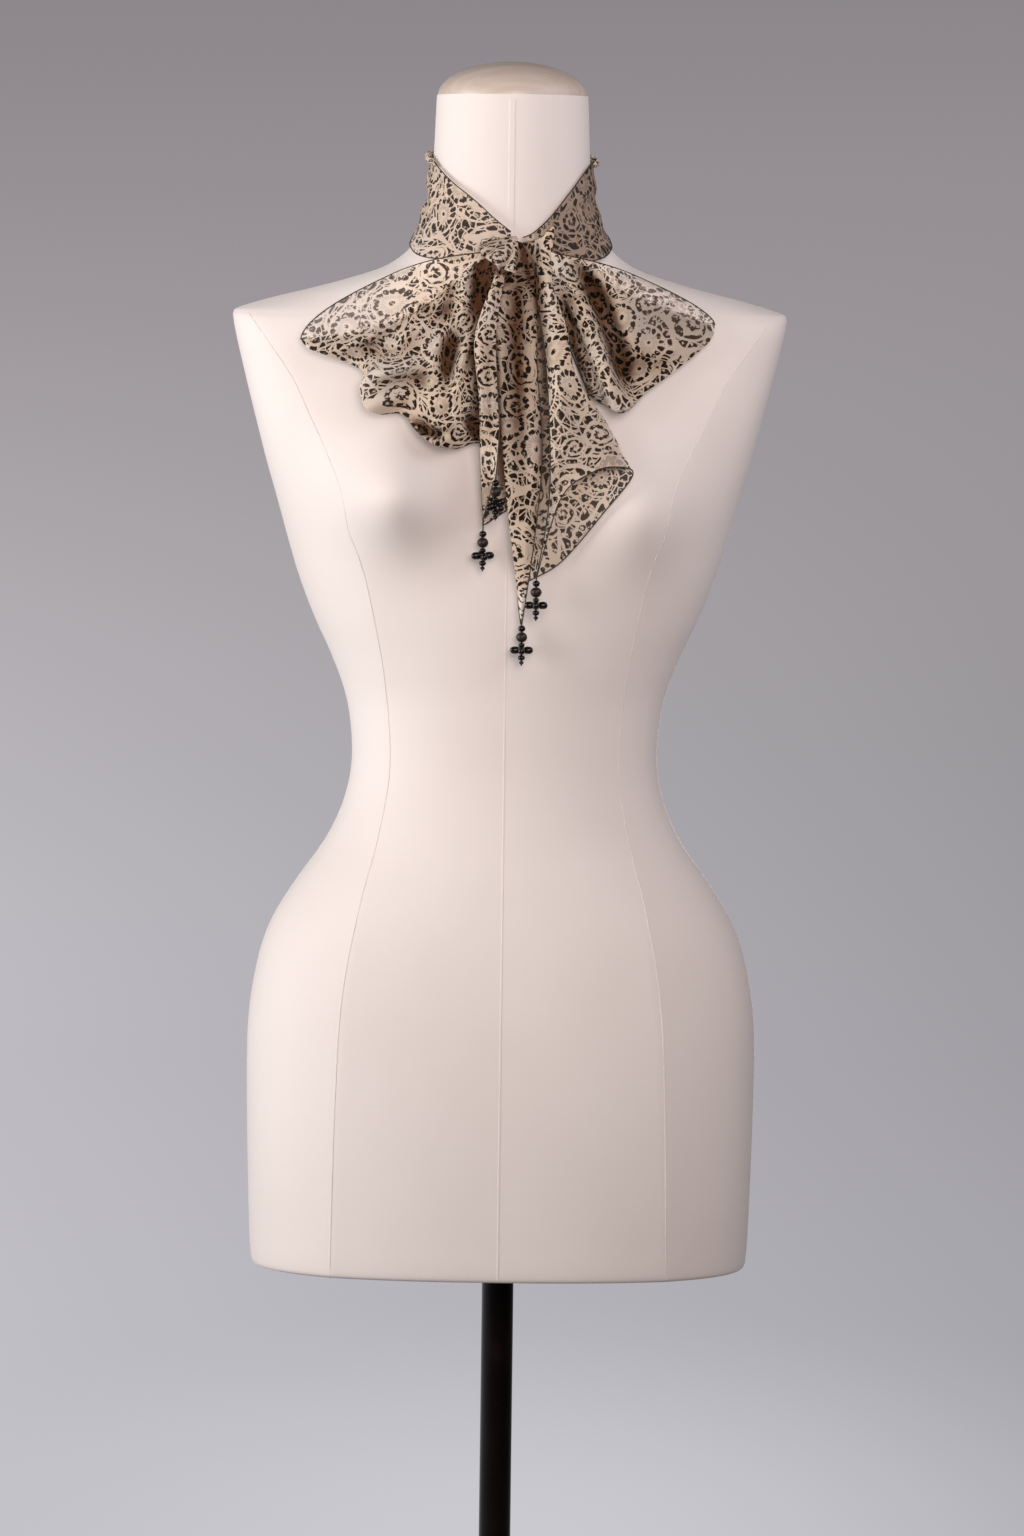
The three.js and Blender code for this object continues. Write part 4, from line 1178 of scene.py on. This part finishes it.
def twistedRoll(under, material):
    steps, sides = rollShape["steps"], rollShape["sides"]
    points, uv = [], []
    length = 0.0
    last = None
    for i in range(steps + 1):
        t = i / steps
        along = lerp(rollShape["from"], rollShape["to"], t)
        top = bandPoint(under, 0.0, along)
        ahead = (bandPoint(under, 0.0, along + 0.002) - bandPoint(under, 0.0, along - 0.002)).normalized()
        out = Vector((top.x, top.y, 0)).normalized()
        up = ahead.cross(out).normalized()
        middle = top + out * rollShape["sinks"] - Vector((0, 0, rollShape["sinks"]))
        length += (middle - last).length if last else 0.0
        last = middle
        taper = min(1.0, 0.35 + 9 * t, 0.35 + 9 * (1 - t))
        for k in range(sides):
            a = 2 * math.pi * k / sides
            lobe = 1 + rollShape["lobe"] * math.cos(rollShape["lobes"] * a + length * rollShape["twist"])
            lobe += rollShape["uneven"] * noise.noise(Vector((length * 200, a, 3)))
            r = rollShape["radius"] * taper * lobe / 1000
            points.append(middle + out * r * math.cos(a) + up * r * math.sin(a))
            uv.append((length, a * 0.004 + length * 0.6))
    roll = meshObject("band_roll", points, gridFaces(steps + 1, sides, closed=True))
    layer = roll.data.uv_layers.new(name="cloth")
    for face in roll.data.polygons:
        for corner in face.loop_indices:
            layer.data[corner].uv = uv[roll.data.loops[corner].vertex_index]
    activate(roll)
    bpy.ops.object.shade_smooth()
    finish(roll, material)
    return roll


# How each sheet is made: its steps, its hems as runs from (across, along) to (across, along), what it replaces,
# its flat size in metres, and the area that shows; the rest of the cut is gathered into the knot.
sheets = {
    "band": {"steps": (16, 120), "flipped": True, "replaces": "neck_band", "flat": (0.066, 0.382), "area": 0.0188,
             "held": "draped", "hems": [((0, 0), (0, 1)), ((1, 0), (1, 1))]},
    "fan": {"steps": (60, 16), "flipped": True, "replaces": "knot", "flat": (0.042, 0.03), "area": 0.0008,
            "held": "gathered", "hems": []},
    "loop_left": {"steps": (60, 76), "flipped": False, "replaces": "loop_left", "flat": (0.18, 0.27), "area": 0.0245,
                  "held": "gathered", "hems": [((0, 0.02), (0, 0.56)), ((1, 0.1), (1, 0.9))]},
    "loop_right": {"steps": (48, 76), "flipped": True, "replaces": "loop_right", "flat": (0.13, 0.24),
                   "area": 0.0165, "held": "gathered", "hems": [((0, 0.02), (0, 0.56)), ((1, 0.1), (1, 0.9))]},
    "tail_front": {"steps": (56, 76), "flipped": False, "replaces": "tail_front", "flat": (0.237, 0.25),
                   "area": 0.0235, "held": "hung",
                   "hems": [((0, 1), (1, 1)), ((0, 0.35), (0, 1)), ((1, 0.3), (1, 1))]},
    "tail_back": {"steps": (36, 60), "flipped": False, "replaces": "tail_back", "flat": (0.062, 0.166),
                  "area": 0.0056, "held": "hung",
                  "hems": [((0, 1), (1, 1)), ((0, 0.5), (0, 1)), ((0.6, 0.45), (0.6, 1))]},
}


def joinedTree(pieces):
    joined = bmesh.new()
    for piece in pieces:
        joined.from_mesh(piece.data)
    tree = BVHTree.FromBMesh(joined)
    joined.free()
    return tree


goldenAngle = 2.39996  # radians


# Writes how closed in each point of the cloth is, on its more open side; the chiffon paints shade from it.
def markClosed(pieces, torso):
    tree = joinedTree([torso] + pieces)
    count = cloth["shadeRays"]
    rays = []
    for k in range(count):  # spread evenly over a half sphere, more of them near its pole
        rise = math.sqrt((k + 0.5) / count)
        turn = goldenAngle * k
        flat = math.sqrt(1 - rise * rise)
        rays.append((flat * math.cos(turn), flat * math.sin(turn), rise))
    for piece in pieces:
        data = piece.data
        values = []
        for point in data.vertices:
            normal = point.normal
            side = normal.orthogonal().normalized()
            other = normal.cross(side)
            clear = []
            for sign in (1, -1):
                start = point.co + normal * (cloth["shadeOff"] * sign)
                ways = [side * a + other * b + normal * (c * sign) for a, b, c in rays]
                clear.append(sum(tree.ray_cast(start, way, cloth["shadeReach"])[0] is None for way in ways))
            values.append(1 - max(clear) / count)
        for _ in range(cloth["shadeBlurs"]):
            total, number = list(values), [1] * len(values)
            for edge in data.edges:
                a, b = edge.vertices
                total[a] += values[b]
                total[b] += values[a]
                number[a] += 1
                number[b] += 1
            values = [t / n for t, n in zip(total, number)]
        data.attributes.new("closed", "FLOAT", "POINT").data.foreach_set("value", values)


def makeCloth(formTree, torso, materials):
    under = {"form": formTree, "dressed": formTree}
    for loop in loops.values():  # the painted shade of a crease spreads a little wider than the crease
        loop["paintedShade"] = [(1.5 * width, lift, points) for width, lift, points in loop["creases"]] + loop["shadeOnly"]
    # Each sheet's points, and the painted shade at each of them.
    shapes = {
        "band": (partial(bandPoint, under), bandShading),
        "fan": (partial(fanPoint, under), fanShading),
    }
    for side, loop in loops.items():
        shapes["loop_" + side] = (partial(loopPoint, under, loop), partial(loopShading, loop))
    for end, tail in tails.items():
        shapes["tail_" + end] = (partial(tailPoint, under, tail), partial(tailShading, tail))
    made = []
    for i, (name, facts) in enumerate(sheets.items()):
        shape, depth = shapes[name]
        piece = clothSheet(name + "_cloth", shape, depth, facts["steps"], i + 1, facts["flipped"])
        finish(piece, materials["chiffon"], [facts["replaces"]])
        made.append(piece)
        if facts["hems"]:
            makeHems(name + "_hem", shape, facts["hems"], materials["hem"])
        if name == "band":
            twistedRoll(under, materials["chiffon"])
            under["dressed"] = joinedTree([torso, piece])
    markClosed(made, torso)
    return {name: shape for name, (shape, _) in shapes.items()}


# The beads from the top down: radius and height in mm, and their finish.
beads = [(2.5, 4.5, "jet"), (3.8, 7.0, "dull"), (2.2, 3.3, "jet"), (2.6, 4.9, "jet"), (2.4, 3.9, "jet"),
         (1.6, 2.5, "jet")]
cross = {"bead": 3, "petals": 4, "length": 6.7, "half": 2.55, "reach": 4.5, "up": 0.7}
strand = {"radius": 0.00032, "off": 0.0003, "twist": 0.0022, "over": 0.0012, "under": 0.0006, "steps": 60}
# The tail and the line that each drop hangs from, the bare thread over its beads in mm, and how its cross is
# turned and tilted in degrees.
drops = {
    "drop_front_inner": ("front", 0, 0.5, 0, 4),
    "drop_front_outer": ("front", 10, 1.5, 0, 0),
    "drop_back_inner": ("back", 0, 0.5, 38, 34),
    "drop_back_outer": ("back", 3, 4.5, 12, 10),
}


def ball(place, radii, material, blunt=False):
    bpy.ops.mesh.primitive_uv_sphere_add(segments=20, ring_count=12, radius=1, location=place)
    made = bpy.context.object
    if blunt:  # a rice bead, with full ends
        for point in made.data.vertices:
            x, y, z = point.co
            wide = max(math.hypot(y, z), 1e-6)
            full = (1 - min(abs(x), 1.0) ** 2.6) ** (1 / 2.2) / wide
            point.co = (x, y * full, z * full)
    made.scale = radii
    made.data.materials.append(material)
    bpy.ops.object.shade_smooth()
    return made


def makeDrop(node, corner, thread, turn, tilt, materials):
    x, y, top = corner
    z = top - thread / 1000
    pieces = []
    for i, (radius, height, look) in enumerate(beads):
        middle = z - height / 2000
        pieces.append(ball((x, y, middle), (radius / 1000, radius / 1000, height / 2000), materials[look]))
        if i == cross["bead"]:
            for k in range(cross["petals"]):
                way = Matrix.Rotation(math.radians(tilt), 3, "X") @ Matrix.Rotation(
                    2 * math.pi * k / cross["petals"] + math.radians(turn), 3, "Z")
                place = Vector((x, y, middle + cross["up"] / 1000)) + way @ Vector((cross["reach"] / 1000, 0, 0))
                radii = (cross["length"] / 2000, cross["half"] / 1000, cross["half"] / 1000)
                petal = ball(place, radii, materials["jet"], True)
                petal.rotation_euler = way.to_euler()
                pieces.append(petal)
        z -= (height + 0.1) / 1000
    finish(joinPieces(node + "_beads", pieces), materials["jet"], [node])

    # Two strands are twisted round each other from the hem to the last bead.
    high, low = top + strand["over"], z - strand["under"]
    runs = []
    for phase in (0, math.pi):
        run = []
        for i in range(strand["steps"] + 1):
            t = i / strand["steps"]
            a = phase + (high - low) * t * 2 * math.pi / strand["twist"]
            run.append((x + strand["off"] * math.cos(a), y + strand["off"] * math.sin(a), lerp(high, low, t)))
        runs.append(run)
    finish(tubes(node + "_thread", runs, strand["radius"], False), materials["hem"])


def makeFloor(material):
    flat, under = backdrop["flat"], backdrop["under"]
    deep, tall = backdrop["curve"]
    profile = [(r, under) for r in (0, 0.5, 1, 1.5, 2, 2.5, 3, 4, 6, flat)]
    for i in range(1, 49):
        a = math.pi / 2 * i / 48
        profile.append((flat + deep * math.sin(a), under + tall * (1 - math.cos(a))))
    floor = lathe("studio_floor", profile, 128)
    activate(floor)
    bpy.ops.object.shade_smooth()
    floor.data.flip_normals()
    floor.data.materials.append(material)


print("stage: camera and light")
makeCamera()
makeLights()
mottle = mottleGroup()
materials = {name: plainFinish(look, mottle) for name, look in finishes.items()}
materials["jersey"] = jerseyMaterial(mottle)
materials["chiffon"] = chiffonMaterial(laceGroup(), weaveGroup())
print("stage: floor")
makeFloor(floorMaterial())
print("stage: dress form")
torso = makeTorso()
finish(torso, materials["jersey"], ["form_torso"])
formTree = BVHTree.FromObject(torso, bpy.context.evaluated_depsgraph_get())
makeSeams(formTree, materials["jersey"])
makeCapAndStand(materials)
print("stage: cloth")
shapes = makeCloth(formTree, torso, materials)
print("stage: bead drops")
for node, (end, line, thread, turn, tilt) in drops.items():
    corner = shapes["tail_" + end](line / (len(tails[end]["lines"]) - 1), 1.0)
    makeDrop(node, corner, thread, turn, tilt, materials)
